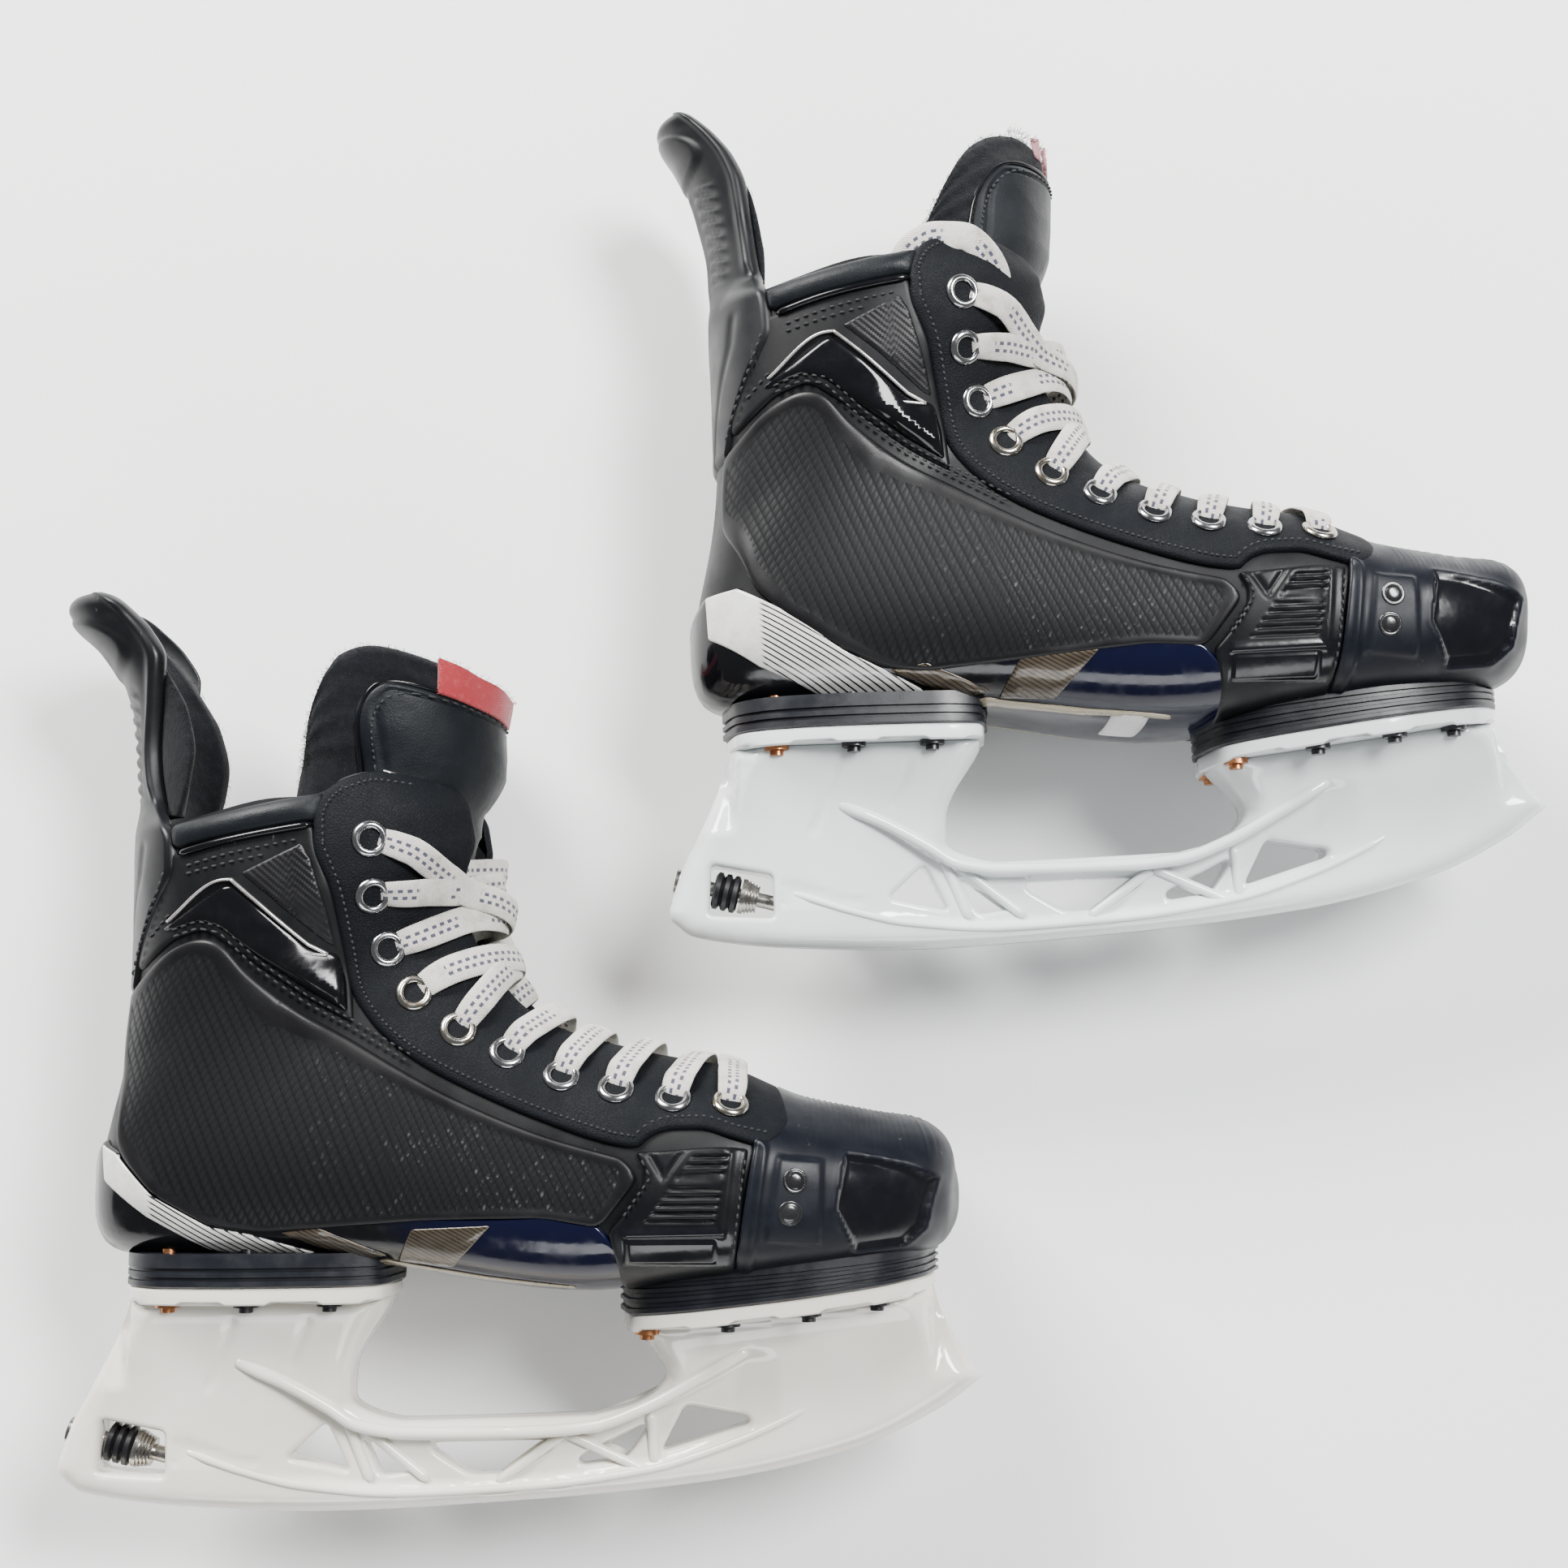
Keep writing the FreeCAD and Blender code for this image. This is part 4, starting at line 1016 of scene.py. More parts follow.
PANEL_TOP = [(25.7, 165.5), (42.8, 179.0), (51.3, 181.5), (56.1, 180.6), (66.6, 170.1),
             (81.8, 158.7), (97.0, 150.1), (115.0, 139.5), (131.0, 131.0), (159.0, 119.5),
             (184.0, 112.5)]
PANEL_LOW = {
    OUTER: [(189.0, 106.6), (177.0, 91.5), (159.0, 94.5), (120.0, 94.0), (86.0, 91.8),
            (69.0, 90.6), (53.0, 92.6), (36.6, 101.6), (26.0, 112.0), (23.0, 118.0)],
    INNER: [(189.0, 106.6), (177.0, 91.5), (159.0, 93.0), (122.0, 91.2), (88.0, 89.6),
            (74.0, 91.2), (60.6, 97.0), (42.0, 108.6), (33.0, 117.6), (29.4, 127.4)],
}
PANEL_BACK = [(24.0, 138.0), (24.0, 150.0)]


def side_panels(foot):
    """The woven outer panels, with a smooth bevelled border."""
    border = 3.4  # plain rim round the weave
    for side, name in SIDES:
        ends = np.array(PANEL_LOW[side] + PANEL_BACK)
        outline = shape(np.concatenate([smooth_path(PANEL_TOP, 4.0), ends]), 4.0, 1.5)
        laid, faces, distance = fill(outline, 1.5, (0.35, 0.9, 1.7, 2.7, border))
        weave = np.clip((distance - border + 0.5) / 0.6, 0, 1)
        height = crown(distance, 1.0, SKIN) - 0.3 * weave
        piece = cover(foot, f"side_panel_{name}_woven", laid, faces, side, height, -0.6,
                      LOOK["panel_border"], replaces=[f"side_panel_{name}"], slot="panel")
        far = np.concatenate([distance, np.zeros(len(distance))])
        paint(piece, "panel", lambda p, far=far: min(far[v] for v in p.vertices) > border - 0.6)


STAY_REAR = [(115.5, 232.6), (104.0, 233.8), (96.5, 231.6), (90.0, 227.4), (86.2, 219.0),
             (86.4, 210.0), (91.5, 196.0), (94.2, 180.0), (96.8, 166.5), (103.5, 155.0),
             (115.5, 144.2), (131.5, 135.2), (159.4, 123.2), (180.0, 116.6), (188.0, 115.4),
             (192.0, 118.6), (199.0, 120.6), (207.0, 120.6), (218.0, 117.6), (227.0, 115.4),
             (232.0, 117.4), (235.0, 121.5)]


def eyestays(foot):
    """The lace facings, with a rolled edge and a stitched border."""
    front = [unroll(key, throat_turn(key) - 0.6) for key in np.linspace(57, -89, 40)]
    outline = np.concatenate([np.array(front), lay_flat(smooth_path(STAY_REAR, 2.5))])
    outline = resample(rounded(outline, 3.0), 1.5)

    def soft(x, z):
        """Slow waves where the facing has creased over the years."""
        return 0.16 * np.sin(x / 5.3 + z / 8.1) * np.sin(z / 6.7 - x / 11.0)

    for side, name in SIDES:
        panel(foot, f"eyestay_{name}_facing", outline, side, LOOK["eyestay"], thick=SKIN + 0.5,
              edge=2.2, spacing=2.0, relief=soft, replaces=[f"eyestay_{name}"], slot="eyestay")
        parts = []
        for first, last, inset in ((5, 14, 3.2), (0, 6, 3.4), (13, 20, 3.2)):
            seam = shifted(smooth_path(STAY_REAR[first:last], 2.0), inset)
            parts += stitch_line(seam, side, SKIN + 0.42)
        build(foot, f"eyestay_{name}_stitches", *joined(parts), LOOK["thread"], slot="eyestay")


CHEVRON = [(40.9, 186.8), (58.6, 199.2), (61.6, 199.4), (84.6, 179.4), (90.2, 176.6)]


def ankle_badges(foot):
    """The gloss quarters with their chevron, ribs, piping and padded collar."""
    quarter = np.array([(27.5, 171.0), (42.0, 181.2), (52.7, 184.0), (68.5, 172.8), (84.5, 161.8),
                    (98.5, 154.0), (97.6, 166.0), (95.2, 180.0), (92.4, 196.0), (87.4, 210.0),
                    (86.8, 217.0), (60.0, 212.4), (30.0, 206.0)])
    gloss = np.array([(40.0, 183.6), (51.6, 186.6), (57.4, 185.0), (70.4, 174.6), (84.6, 164.6),
                  (96.6, 157.6), (95.8, 168.0), (93.4, 176.6), (85.4, 178.2), (61.4, 197.8),
                  (58.6, 197.4), (38.4, 184.6)])
    ribs = np.array([(64.4, 201.4), (83.2, 210.6), (86.0, 206.0), (90.6, 190.0), (92.8, 178.6),
                 (89.6, 180.0)])
    collar = np.array([(41.5, 209.2), (60.0, 212.4), (79.0, 215.8), (88.4, 217.6), (90.4, 226.6),
                   (74.2, 224.0), (58.0, 220.6), (40.4, 217.4)])
    for side, name in SIDES:
        more = {"slot": "badge"}
        panel(foot, f"badge_{name}_base", shape(quarter, 3.0, 1.5), side,
              LOOK["shell"], thick=1.2, spacing=3.0,
              replaces=["ankle_badges"] if side == OUTER else [], **more)

        def swell(x, z):
            """The round boss near the eyestay."""
            away = ((x - 84.0) / 15.0) ** 2 + ((z - 168.5 + (x - 84) * 0.55) / 7.0) ** 2
            return 2.6 * np.exp(-away) + 0.5 * fall(x, 66, 26)

        panel(foot, f"badge_{name}_gloss", shape(gloss, 2.0, 1.2), side,
              LOOK["badge"], base=1.1, thick=1.1, edge=1.6, spacing=1.1, relief=swell, **more)

        def fine_ribs(x, z):
            slant = math.radians(-41.0)
            across = -x * math.sin(slant) + z * math.cos(slant)
            return 0.22 * np.clip(np.sin(across * 2 * math.pi / 1.7) * 1.6, -1, 1)

        panel(foot, f"badge_{name}_ribs", shape(ribs, 1.0, 0.8), side,
              LOOK["ribbed"], base=1.1, thick=0.8, edge=0.8, spacing=0.55, relief=fine_ribs,
              rings=(0.3,), **more)
        trim = [strip(smooth_path(CHEVRON[:3], 1.0), side, 1.9, 0.9, 0.9),
                strip(CHEVRON[2:], side, 1.9, 1.1, 0.9),
                strip([(90.2, 176.4), (76.6, 176.9)], side, 2.0, 0.9, 0.9)]
        build(foot, f"badge_{name}_chevron", *joined(trim), LOOK["silver"], **more)
        cord = smooth_path([(44.0, 208.0), (60.0, 211.6), (79.0, 215.0), (86.4, 216.2)])
        build(foot, f"badge_{name}_piping", *piping(cord, side, 1.9, 1.15), LOOK["badge"], **more)
        seams = []
        for seam in ([(46.0, 204.0), (60.0, 207.4), (82.0, 211.6)],
                     [(46.0, 201.5), (60.0, 204.6), (72.0, 207.0)], [(33.0, 182.0), (41.0, 189.4)]):
            seams += stitch_line(seam, side, 1.3, 2.8)
        for offset in (3.0, 5.2):
            seams += stitch_line(shifted(PANEL_TOP[1:8], offset), side, 1.5, 2.9)
        build(foot, f"badge_{name}_stitches", *joined(seams), LOOK["thread"], **more)
        roll = panel(foot, f"collar_roll_{name}", shape(collar, 3.0, 1.2), side,
                     LOOK["tongue"], base=0.2, thick=3.4, edge=5.5, spacing=2.0, sink=1.0, **more)


# --- forefoot and toe ---------------------------------------------------------------------


def near_line(x, z, a, b):
    """Distance of side-view points from the line a to b."""
    return line_distance(np.stack([x, z], 1), np.array([a, b], float))


RIB_PITCH, RIBS_LOW_Z, RIBS_HIGH_Z = 2.35, 92.6, 113.6


def forefoot(foot):
    """The ribbed forefoot guards, which fold under the sole."""
    outline = lay_flat([(179.2, 90.6), (190.6, 106.8), (187.4, 114.4), (222.4, 114.8), (220.6, 100.0),
                    (218.4, 83.0), (217.4, 72.0)])
    under = unroll(np.array([42.4, 8.0]), np.array([178.5, 178.5]))
    outline = resample(rounded(np.concatenate([outline, under, lay_flat([(181.6, 80.0)])]), 2.0), 1.4)

    def relief(x, z):
        """Ribs in a frame, a notch above them and a pad below."""
        left = 189.1 + (z - RIBS_LOW_Z) * 0.78
        right = 212.2 + (z - RIBS_LOW_Z) * 0.22
        within = rise(x, left, 1.6) * fall(x, right, 1.6)
        within = within * rise(z, RIBS_LOW_Z, 1.0) * fall(z, RIBS_HIGH_Z, 1.0)
        ribs = np.clip(np.cos((z - RIBS_LOW_Z) * 2 * math.pi / RIB_PITCH) * 1.5, -1, 1) * 0.55 - 0.2
        frame_bar = bell(near_line(x, z, (216.6, 113.0), (214.0, 90.6)), 1.4)
        foot_bar = bell(near_line(x, z, (185.0, 90.2), (214.0, 90.6)), 1.3)
        notch = np.minimum(near_line(x, z, (191.8, 114.0), (196.4, 106.6)),
                           near_line(x, z, (196.4, 106.6), (203.6, 116.0)))
        pad = fall(z, 89.0, 1.2) * rise(z, 81.4, 1.2)
        pad = pad * rise(x, 184.4, 1.5) * fall(x, 212.6, 1.5)
        return within * ribs + 0.9 * np.maximum(frame_bar, foot_bar) + 0.9 * pad \
            - 1.0 * bell(notch, 1.0)

    for side, name in SIDES:
        piece = panel(foot, f"forefoot_{name}", outline, side, LOOK["forefoot"], thick=SKIN,
                      spacing=0.62, relief=relief, slot="forefoot",
                      replaces=["forefoot_guards"] if side == OUTER else [])
        layer = piece.data.uv_layers["side"].data

        def shiny(polygon, layer=layer):
            x, z = layer[polygon.loop_start].uv * 100
            return 183.5 < x < 218.5 and 80.8 < z < 92.0 and x < 217.4 + (z - 90) * 0.2

        paint(piece, "gloss", shiny)
        seams = []
        for seam in ([(221.0, 112.0), (219.2, 99.0), (217.2, 84.0)],
                     [(189.4, 112.4), (192.4, 106.8), (184.0, 95.0)]):
            seams += stitch_line(seam, side, SKIN + 0.1, 2.6)
        build(foot, f"forefoot_{name}_stitches", *joined(seams), LOOK["thread"], slot="forefoot")


WINDOW = np.array([(251.6, 112.2), (262.0, 110.6), (269.9, 108.3), (279.4, 104.2), (276.8, 90.4),
                   (270.8, 85.6), (255.0, 84.2), (248.2, 96.8)])
STUD_PLATE = np.array([(230.5, 112.4), (245.0, 110.8), (244.2, 86.2), (226.5, 87.6)])
STUDS = ((236.0, 105.2), (234.4, 95.9))
STUD_PROFILE = [(-0.8, 3.9), (0.35, 3.9), (0.7, 3.6), (0.55, 3.2), (0.5, 2.9), (0.95, 2.5),
                (1.15, 1.4), (1.2, 0.3)]  # height, radius


CAP_CORNER_X, CAP_CORNER_Z, CAP_CORNER_R, CAP_CORNER_PROUD = 279.0, 111.0, 9.0, 3.4
RIDGE_PITCH, RIDGE_DEPTH = 1.9, 0.22


def toe_cap(foot):
    """The toe cap, one skin right round the toes, with side windows and a ribbed top."""
    keys = np.concatenate([np.linspace(42.6, 100, 62), np.linspace(100.8, 112.6, 18),
                           [113.3, 113.9, 114.4, 114.7]])
    turns = np.arange(0, 360, 1.5)
    key, turn = lattice(keys, turns)
    # The cap's back edge leans: it lies further forward high on the toe.
    ground = boot_raw(key, turn)
    lean = rise(ground[..., 2], 78.0, 38.0) * 6.0 + rise(ground[..., 2], 118.0, 12.0) * 8.0
    key = key + lean * fall(key, 100, 57.0)
    ground = boot_raw(key, turn)
    x, z = ground[..., 0].ravel(), ground[..., 2].ravel()
    side_view = np.stack([x, z], 1)
    on_side = np.abs(np.sin(np.radians(turn))).ravel() > 0.55
    from_edge = line_distance(side_view, WINDOW, closed=True)
    in_window = inside(side_view, WINDOW) & on_side
    height = np.full(len(x), SKIN)
    # The cap's upper front corner stands out squarely.
    height += CAP_CORNER_PROUD * np.exp(-(((x - CAP_CORNER_X) / CAP_CORNER_R) ** 2)
                                        - ((z - CAP_CORNER_Z) / CAP_CORNER_R) ** 2)
    height -= np.where(in_window, 1.3 * np.clip(from_edge / 1.6, 0, 1), 0)
    height += 0.5 * bell(from_edge, 1.4) * ~in_window * on_side
    plate_edge = line_distance(side_view, STUD_PLATE, closed=True)
    in_plate = inside(side_view, STUD_PLATE) & on_side
    height += np.where(in_plate, 0.9 * np.clip(plate_edge / 1.2, 0, 1), 0)
    bar = near_line(x, z, (224.0, 114.0), (219.6, 80.0))
    height += np.where(on_side, 0.8 * bell(bar - 2.6, 0.9), 0)
    upward = np.cos(np.radians(turn)).ravel()
    ridge = np.sin(x * 2 * math.pi / RIDGE_PITCH)
    fade = rise(upward, 0.35, 0.2) * fall(x, 281, 4)
    height += np.where((upward > 0.2) & (x > 240), RIDGE_DEPTH * ridge * fade, 0)
    rim = rise(key.ravel(), key.min(), 1.2)
    height = (height * np.sqrt(rim)).reshape(key.shape)
    outer, _ = boot(key, turn, height)
    inner, _ = boot(key, turn, -0.6)
    outer[-1] = outer[-1].mean(0) * 0.35 + outer[-1] * 0.65
    points, faces = closed_grid(outer, inner, around=True)
    # At the tip, one face closes each of the two walls, in place of the strip that joins them.
    rows, columns = key.shape
    tip, inner_tip = (rows - 1) * columns, (2 * rows - 1) * columns
    faces = [f for f in faces if not (tip <= min(f) < tip + columns and max(f) >= inner_tip)]
    faces.append(tuple(range(tip, tip + columns)))
    faces.append(tuple(range(inner_tip, inner_tip + columns))[::-1])
    uv = np.tile(side_view / UV_UNIT, (2, 1))
    piece = build(foot, "toe_cap_shaped", points, faces, LOOK["toe_cap"], uv=uv,
                  replaces=["toe_cap"], slot="toe_cap")
    window = np.concatenate([in_window, np.zeros(len(x), bool)])
    paint(piece, "gloss", lambda p: all(window[v] for v in p.vertices))
    for side, name in SIDES:
        parts = [lathe(STUD_PROFILE, *on_boot(stud, side, SKIN + 0.6), 24) for stud in STUDS]
        build(foot, f"toe_studs_{name}", *joined(parts), LOOK["stud"], slot="stud",
              replaces=["toe_cap_studs"] if side == OUTER else [])


# --- sole ---------------------------------------------------------------------------------


def sole(foot):
    """The gloss outsole with its printed bands."""
    waist = [(120.0, 95.0), (159.0, 95.4), (176.0, 92.4), (184.0, 84.0), (186.0, 76.0)]
    edge = lay_flat([(17.4, 119.0), (28.0, 120.0), (45.6, 109.4), (61.6, 98.0), (75.0, 92.0),
                 (88.0, 91.4)] + waist)
    other = lay_flat([(17.4, 119.0), (24.0, 115.0), (37.0, 102.6), (53.4, 93.6), (69.0, 91.6),
                  (86.0, 92.6)] + waist)[::-1].copy()
    other[:, 1] = 2 * 180 * TURN_MM - other[:, 1]
    back = unroll(np.array([-54.0]), np.array([180.0]))
    outline = resample(rounded(np.concatenate([back, edge, other]), 2.0), 2.0)
    panel(foot, "outsole_gloss", outline, 1, LOOK["outsole"], thick=1.5, edge=1.4, spacing=2.6,
          replaces=["outsole"], slot="outsole")
    white = {
        OUTER: [(17.9, 117.0), (23.4, 114.6), (36.0, 101.8), (53.0, 92.6), (66.0, 90.2), (91.0, 82.6),
                (78.0, 80.8), (52.0, 85.6), (34.0, 95.6), (19.4, 106.0)],
        INNER: [(17.9, 117.6), (28.0, 118.6), (45.0, 108.4), (61.0, 97.0), (74.0, 91.0), (92.0, 83.0),
                (86.0, 79.4), (57.0, 83.4), (34.0, 93.6), (18.4, 103.6)],
    }
    bands = {
        "bronze": [[(76.0, 90.8), (88.0, 92.2), (109.0, 83.6), (98.0, 82.2)],
                   [(118.0, 91.6), (143.0, 92.6), (130.0, 80.0), (112.0, 81.8)]],
        "gold": [[(99.0, 81.0), (108.0, 82.2), (140.0, 77.0), (168.0, 73.6), (168.0, 72.8),
                  (140.0, 75.6), (112.0, 80.0)]],
    }
    for side, name in SIDES:
        bands["white_band"] = [white[side]]
        for look, outlines in bands.items():
            for number, band in enumerate(outlines):
                panel(foot, f"outsole_{look}_{number}_{name}",
                      shape(band, 0.8, 1.6), side, LOOK[look], base=1.75,
                      thick=0.18, edge=0.3, spacing=3.0, sink=0.3, rings=(0.35,), slot="outsole")
    if foot.name == "left":
        label = lay_flat([(149.0, 75.6), (161.0, 74.2), (160.0, 69.6), (148.0, 71.4)])
        panel(foot, "sole_sticker", resample(rounded(label, 0.8), 1.0), INNER, LOOK["paper"],
              base=1.75, thick=0.2, edge=0.3, spacing=2.0, sink=0.3, rings=(), slot="outsole")


# --- laces and eyelets --------------------------------------------------------------------

EYELETS = [(103.5, 212.0), (103.8, 195.0), (107.9, 178.0), (116.9, 163.4), (131.0, 151.8),
           (146.4, 144.0), (163.7, 136.4), (180.9, 132.3), (198.8, 129.1), (216.3, 127.2)]
# How far each crossing sags round the instep, as a change of key, and its extra height.
SAGS = {OUTER: [(30.0, 3.6), (9.0, 1.6), (7.0, 0.6), (7.0, 1.4), (-4.0, 0.2), (2.5, 0.8), (1.0, 0.0),
                (1.5, 0.6), (0.5, 0.0)],
        INNER: [(14.0, -0.6), (10.0, -0.9), (6.0, -1.2), (2.0, -1.2), (1.0, -1.2), (0.0, -1.2),
                (0.0, -1.2), (0.0, -1.2), (0.0, -1.2)]}
LACE_W, LACE_T = 9.6, 1.7
LOOP = [(82.0, 37.0, 216.0), (84.6, 41.0, 223.0), (89.0, 43.6, 228.6), (96.0, 45.2, 231.6),
        (105.0, 45.0, 231.2), (112.0, 42.6, 226.8), (116.4, 38.6, 219.6), (117.6, 33.0, 212.0),
        (115.0, 26.0, 204.0)]  # over the left tongue


def woven_ribbon(points, normals, widths, start=0.0, lean=None):
    """A soft flat lace: its points, faces, uv, and how much lace is used by its end."""
    points, normals = np.asarray(points, float), unit(np.asarray(normals, float))
    along = unit(np.gradient(points, axis=0))
    across = unit(np.cross(along, normals))
    up = unit(np.cross(across, along))
    run = start + np.concatenate([[0], np.cumsum(np.linalg.norm(np.diff(points, axis=0), axis=1))])
    sides = 14
    out, uv = [], []
    for i, p in enumerate(points):
        twist = 0.0 if lean is None else lean[i]
        a = across[i] * math.cos(twist) + up[i] * math.sin(twist)
        u = up[i] * math.cos(twist) - across[i] * math.sin(twist)
        for k in range(sides):
            angle = 2 * math.pi * k / sides
            c, s = math.cos(angle), math.sin(angle)
            flat_c = math.copysign(abs(c) ** 0.7, c)
            edge = 1 - 0.35 * abs(c) ** 3
            ripple = 0.1 * math.sin(run[i] * 2 * math.pi / 1.5 + 3 * k)
            out.append(p + a * flat_c * widths[i] / 2 + u * (s * edge * LACE_T / 2 + ripple * s))
            uv.append((run[i] / UV_UNIT, flat_c * LACE_W / 2 / UV_UNIT))
    return np.array(out), capped_faces(len(points), sides), np.array(uv), run[-1]


def laces(foot):
    """A flat lace: nine crossings each way, over one eyestay and under the other, and a bar."""
    steps = np.concatenate([np.linspace(0, 0.12, 9), np.linspace(0.15, 0.9, 34), [0.95, 1.0]])
    x, z = np.array(EYELETS).T
    key, turn = side_key(x, z), side_turn(x, z)
    runs = []
    start = 0.0
    chance = random.Random(31)
    for i in range(len(EYELETS) - 1):
        for side in (OUTER, INNER):
            own = side if foot.mirror > 0 else -side
            sag, high = SAGS[own][i]
            k = key[i] + (key[i + 1] - key[i]) * steps + sag * np.sin(math.pi * steps) ** 1.5
            t = side * (turn[i] + (-turn[i + 1] - turn[i]) * steps)
            over = 4.3 - 10.9 * ease(rise(steps, 0.4, 0.2))
            over = over - 7.0 * np.exp(-steps / 0.02) + high * bell(steps - 0.42, 0.14)
            over = over + 0.9 * bell(steps - 0.1, 0.05)
            points, normals = boot(k, t, over)
            widths = LACE_W - 3.4 * np.exp(-steps / 0.035) + chance.uniform(-0.4, 0.5)
            lean = chance.uniform(-0.22, 0.22) * np.sin(math.pi * np.clip(steps * 2, 0, 1))
            *part, start = woven_ribbon(points, normals, widths, start, lean=lean)
            runs.append(part)
    bar = np.linspace(0, 1, 40)
    near_end = np.minimum(bar, 1 - bar)
    over = 4.4 - 7.0 * np.exp(-near_end / 0.02) + 0.8 * bell(near_end - 0.1, 0.06)
    points, normals = boot(np.full(40, key[-1]), -turn[-1] + 2 * turn[-1] * bar, over)
    *part, start = woven_ribbon(points, normals, LACE_W - 3.4 * np.exp(-near_end / 0.035), start)
    runs.append(part)
    if foot.name == "left":
        loop = smooth_path(LOOP, 1.6)
        normals = np.tile([0.0, 1.0, 0.0], (len(loop), 1))
        *part, start = woven_ribbon(loop, normals, np.full(len(loop), LACE_W), start)
        runs.append(part)
    points, faces = joined([(p, f) for p, f, _ in runs])
    uv = np.concatenate([u for _, _, u in runs])
    build(foot, "lace", points, faces, LOOK["lace"], uv=uv, replaces=["laces"], slot="lace")


def ring(profile, centre, axis):
    """A turned ring; profile is a closed line of (height, radius)."""
    segments = 36
    points, faces = lathe(profile, centre, axis, segments)
    faces = faces[:-2]
    last = (len(profile) - 1) * segments
    for k in range(segments):
        m = (k + 1) % segments
        faces.append((last + k, last + m, m, k))
    return points, faces


def eyelets(foot):
    """Rolled metal eyelets."""
    profile = [(-1.6, 3.25), (0.1, 3.2), (0.75, 3.45), (1.15, 4.1), (1.1, 4.7), (0.7, 5.4),
               (0.15, 5.85), (-0.3, 5.9), (-0.5, 5.2), (-1.6, 4.0)]
    groups = {"eyelet": [], "brass": []}
    for side in (OUTER, INNER):
        for i, (x, z) in enumerate(EYELETS):
            centre, normal = on_boot((x, z), side, SKIN + 0.6)
            groups["brass" if i in (3, 4, 9) else "eyelet"].append(ring(profile, centre, normal))
    for look, parts in groups.items():
        build(foot, f"eyelets_{look}", *joined(parts), LOOK[look], slot="eyelet",
              replaces=["eyelets"] if look == "eyelet" else [])


# --- holder and risers --------------------------------------------------------------------

HOLDER_TOP = 72.5
SLOPE_X0, SLOPE_Z0, SLOPE_X1, SLOPE_Z1 = 181.4, 61.7, 283.5, 73.5
TOWERS_MEET_X = 145.0
HEEL_PLAN = [(21.9, 0), (25, 15), (38, 25), (63, 28), (90, 27), (106, 22), (109.3, 0)]
FRONT_PLAN = [(181.6, 0), (185, 20), (205, 31), (235, 34), (262, 29), (279, 15), (283.4, 0)]
WINDOWS = [
    [(86.5, 28.3), (74.0, 17.3), (94.5, 12.3)],
    [(98.0, 23.3), (117.0, 12.8), (104.0, 10.8)],
    [(120.8, 21.3), (159.0, 21.7), (158.7, 18.7), (145.0, 11.3), (132.7, 11.0), (120.5, 18.7)],
    [(188.5, 26.4), (188.8, 24.3), (182.5, 15.5), (167.8, 13.4), (167.1, 16.2)],
    [(201.6, 32.6), (222.3, 28.7), (222.3, 25.9), (193.7, 17.5)],
]
LOCK_WINDOW = [(15.4, 30.4), (35.8, 26.1), (35.8, 11.8), (14.1, 13.4)]


def slope_z(x):
    """The height of the front flange's top."""
    return SLOPE_Z0 + (SLOPE_Z1 - SLOPE_Z0) * (x - SLOPE_X0) / (SLOPE_X1 - SLOPE_X0)


def holder_outline():
    """The holder in the side view, without its flanges."""
    bottom = smooth_path([(1.5, 12.6), (9, 7), (46, 1.8), (86, 0.2), (150, 3), (212, 8.6),
                          (256, 18), (284, 30.5), (297.4, 40.0)], 2.0)
    toe = smooth_path([(297.4, 40.6), (293.5, 45.5), (290.0, 51.5), (284.6, 62.0), (282.4, 70.5)], 2.0)
    front = smooth_path([(184.0, 59.5), (190.5, 51.5), (195.5, 42.5), (193.0, 37.5), (185.0, 32.5),
                         (172.0, 29.2)], 2.0)
    bridge = smooth_path([(154.0, 28.8), (112.0, 28.3), (101.5, 30.6), (94.5, 35.5), (94.5, 42.5),
                          (107.0, 66.5), (108.6, 70.5)], 2.0)
    heel = smooth_path([(22.8, 70.5), (22.0, 66.0), (11.5, 40.0), (5.2, 28.0), (1.0, 15.5)], 2.0)
    return np.concatenate([bottom, toe, front, bridge, heel])


def stem_half(x, z):
    """The holder's half width: narrow at the runner, opening to the flanges."""
    front = np.clip((x - TOWERS_MEET_X + 10) / 20, 0, 1)
    lift = np.where(x > TOWERS_MEET_X, HOLDER_TOP - slope_z(x), 0.0)
    level = z + lift * rise(z, 20.0, 30.0)
    low = [(0.0, 4.6), (5.0, 6.6), (30.0, 9.2), (42.0, 11.2), (54.0, 14.4), (63.0, 18.0)]
    heel = curve(low + [(69.0, 21.5), (76.0, 24.0)], level)
    toe = curve(low + [(69.0, 25.5), (76.0, 30.0)], level)
    width = heel + (toe - heel) * front
    plan = np.concatenate([np.array(HEEL_PLAN, float), np.array(FRONT_PLAN, float)])
    limit = np.interp(x, plan[:, 0], plan[:, 1])
    high = rise(level, 40.0, 18.0)
    return width * (1 - high) + np.minimum(width, np.maximum(limit, 3.0) * 0.93) * high


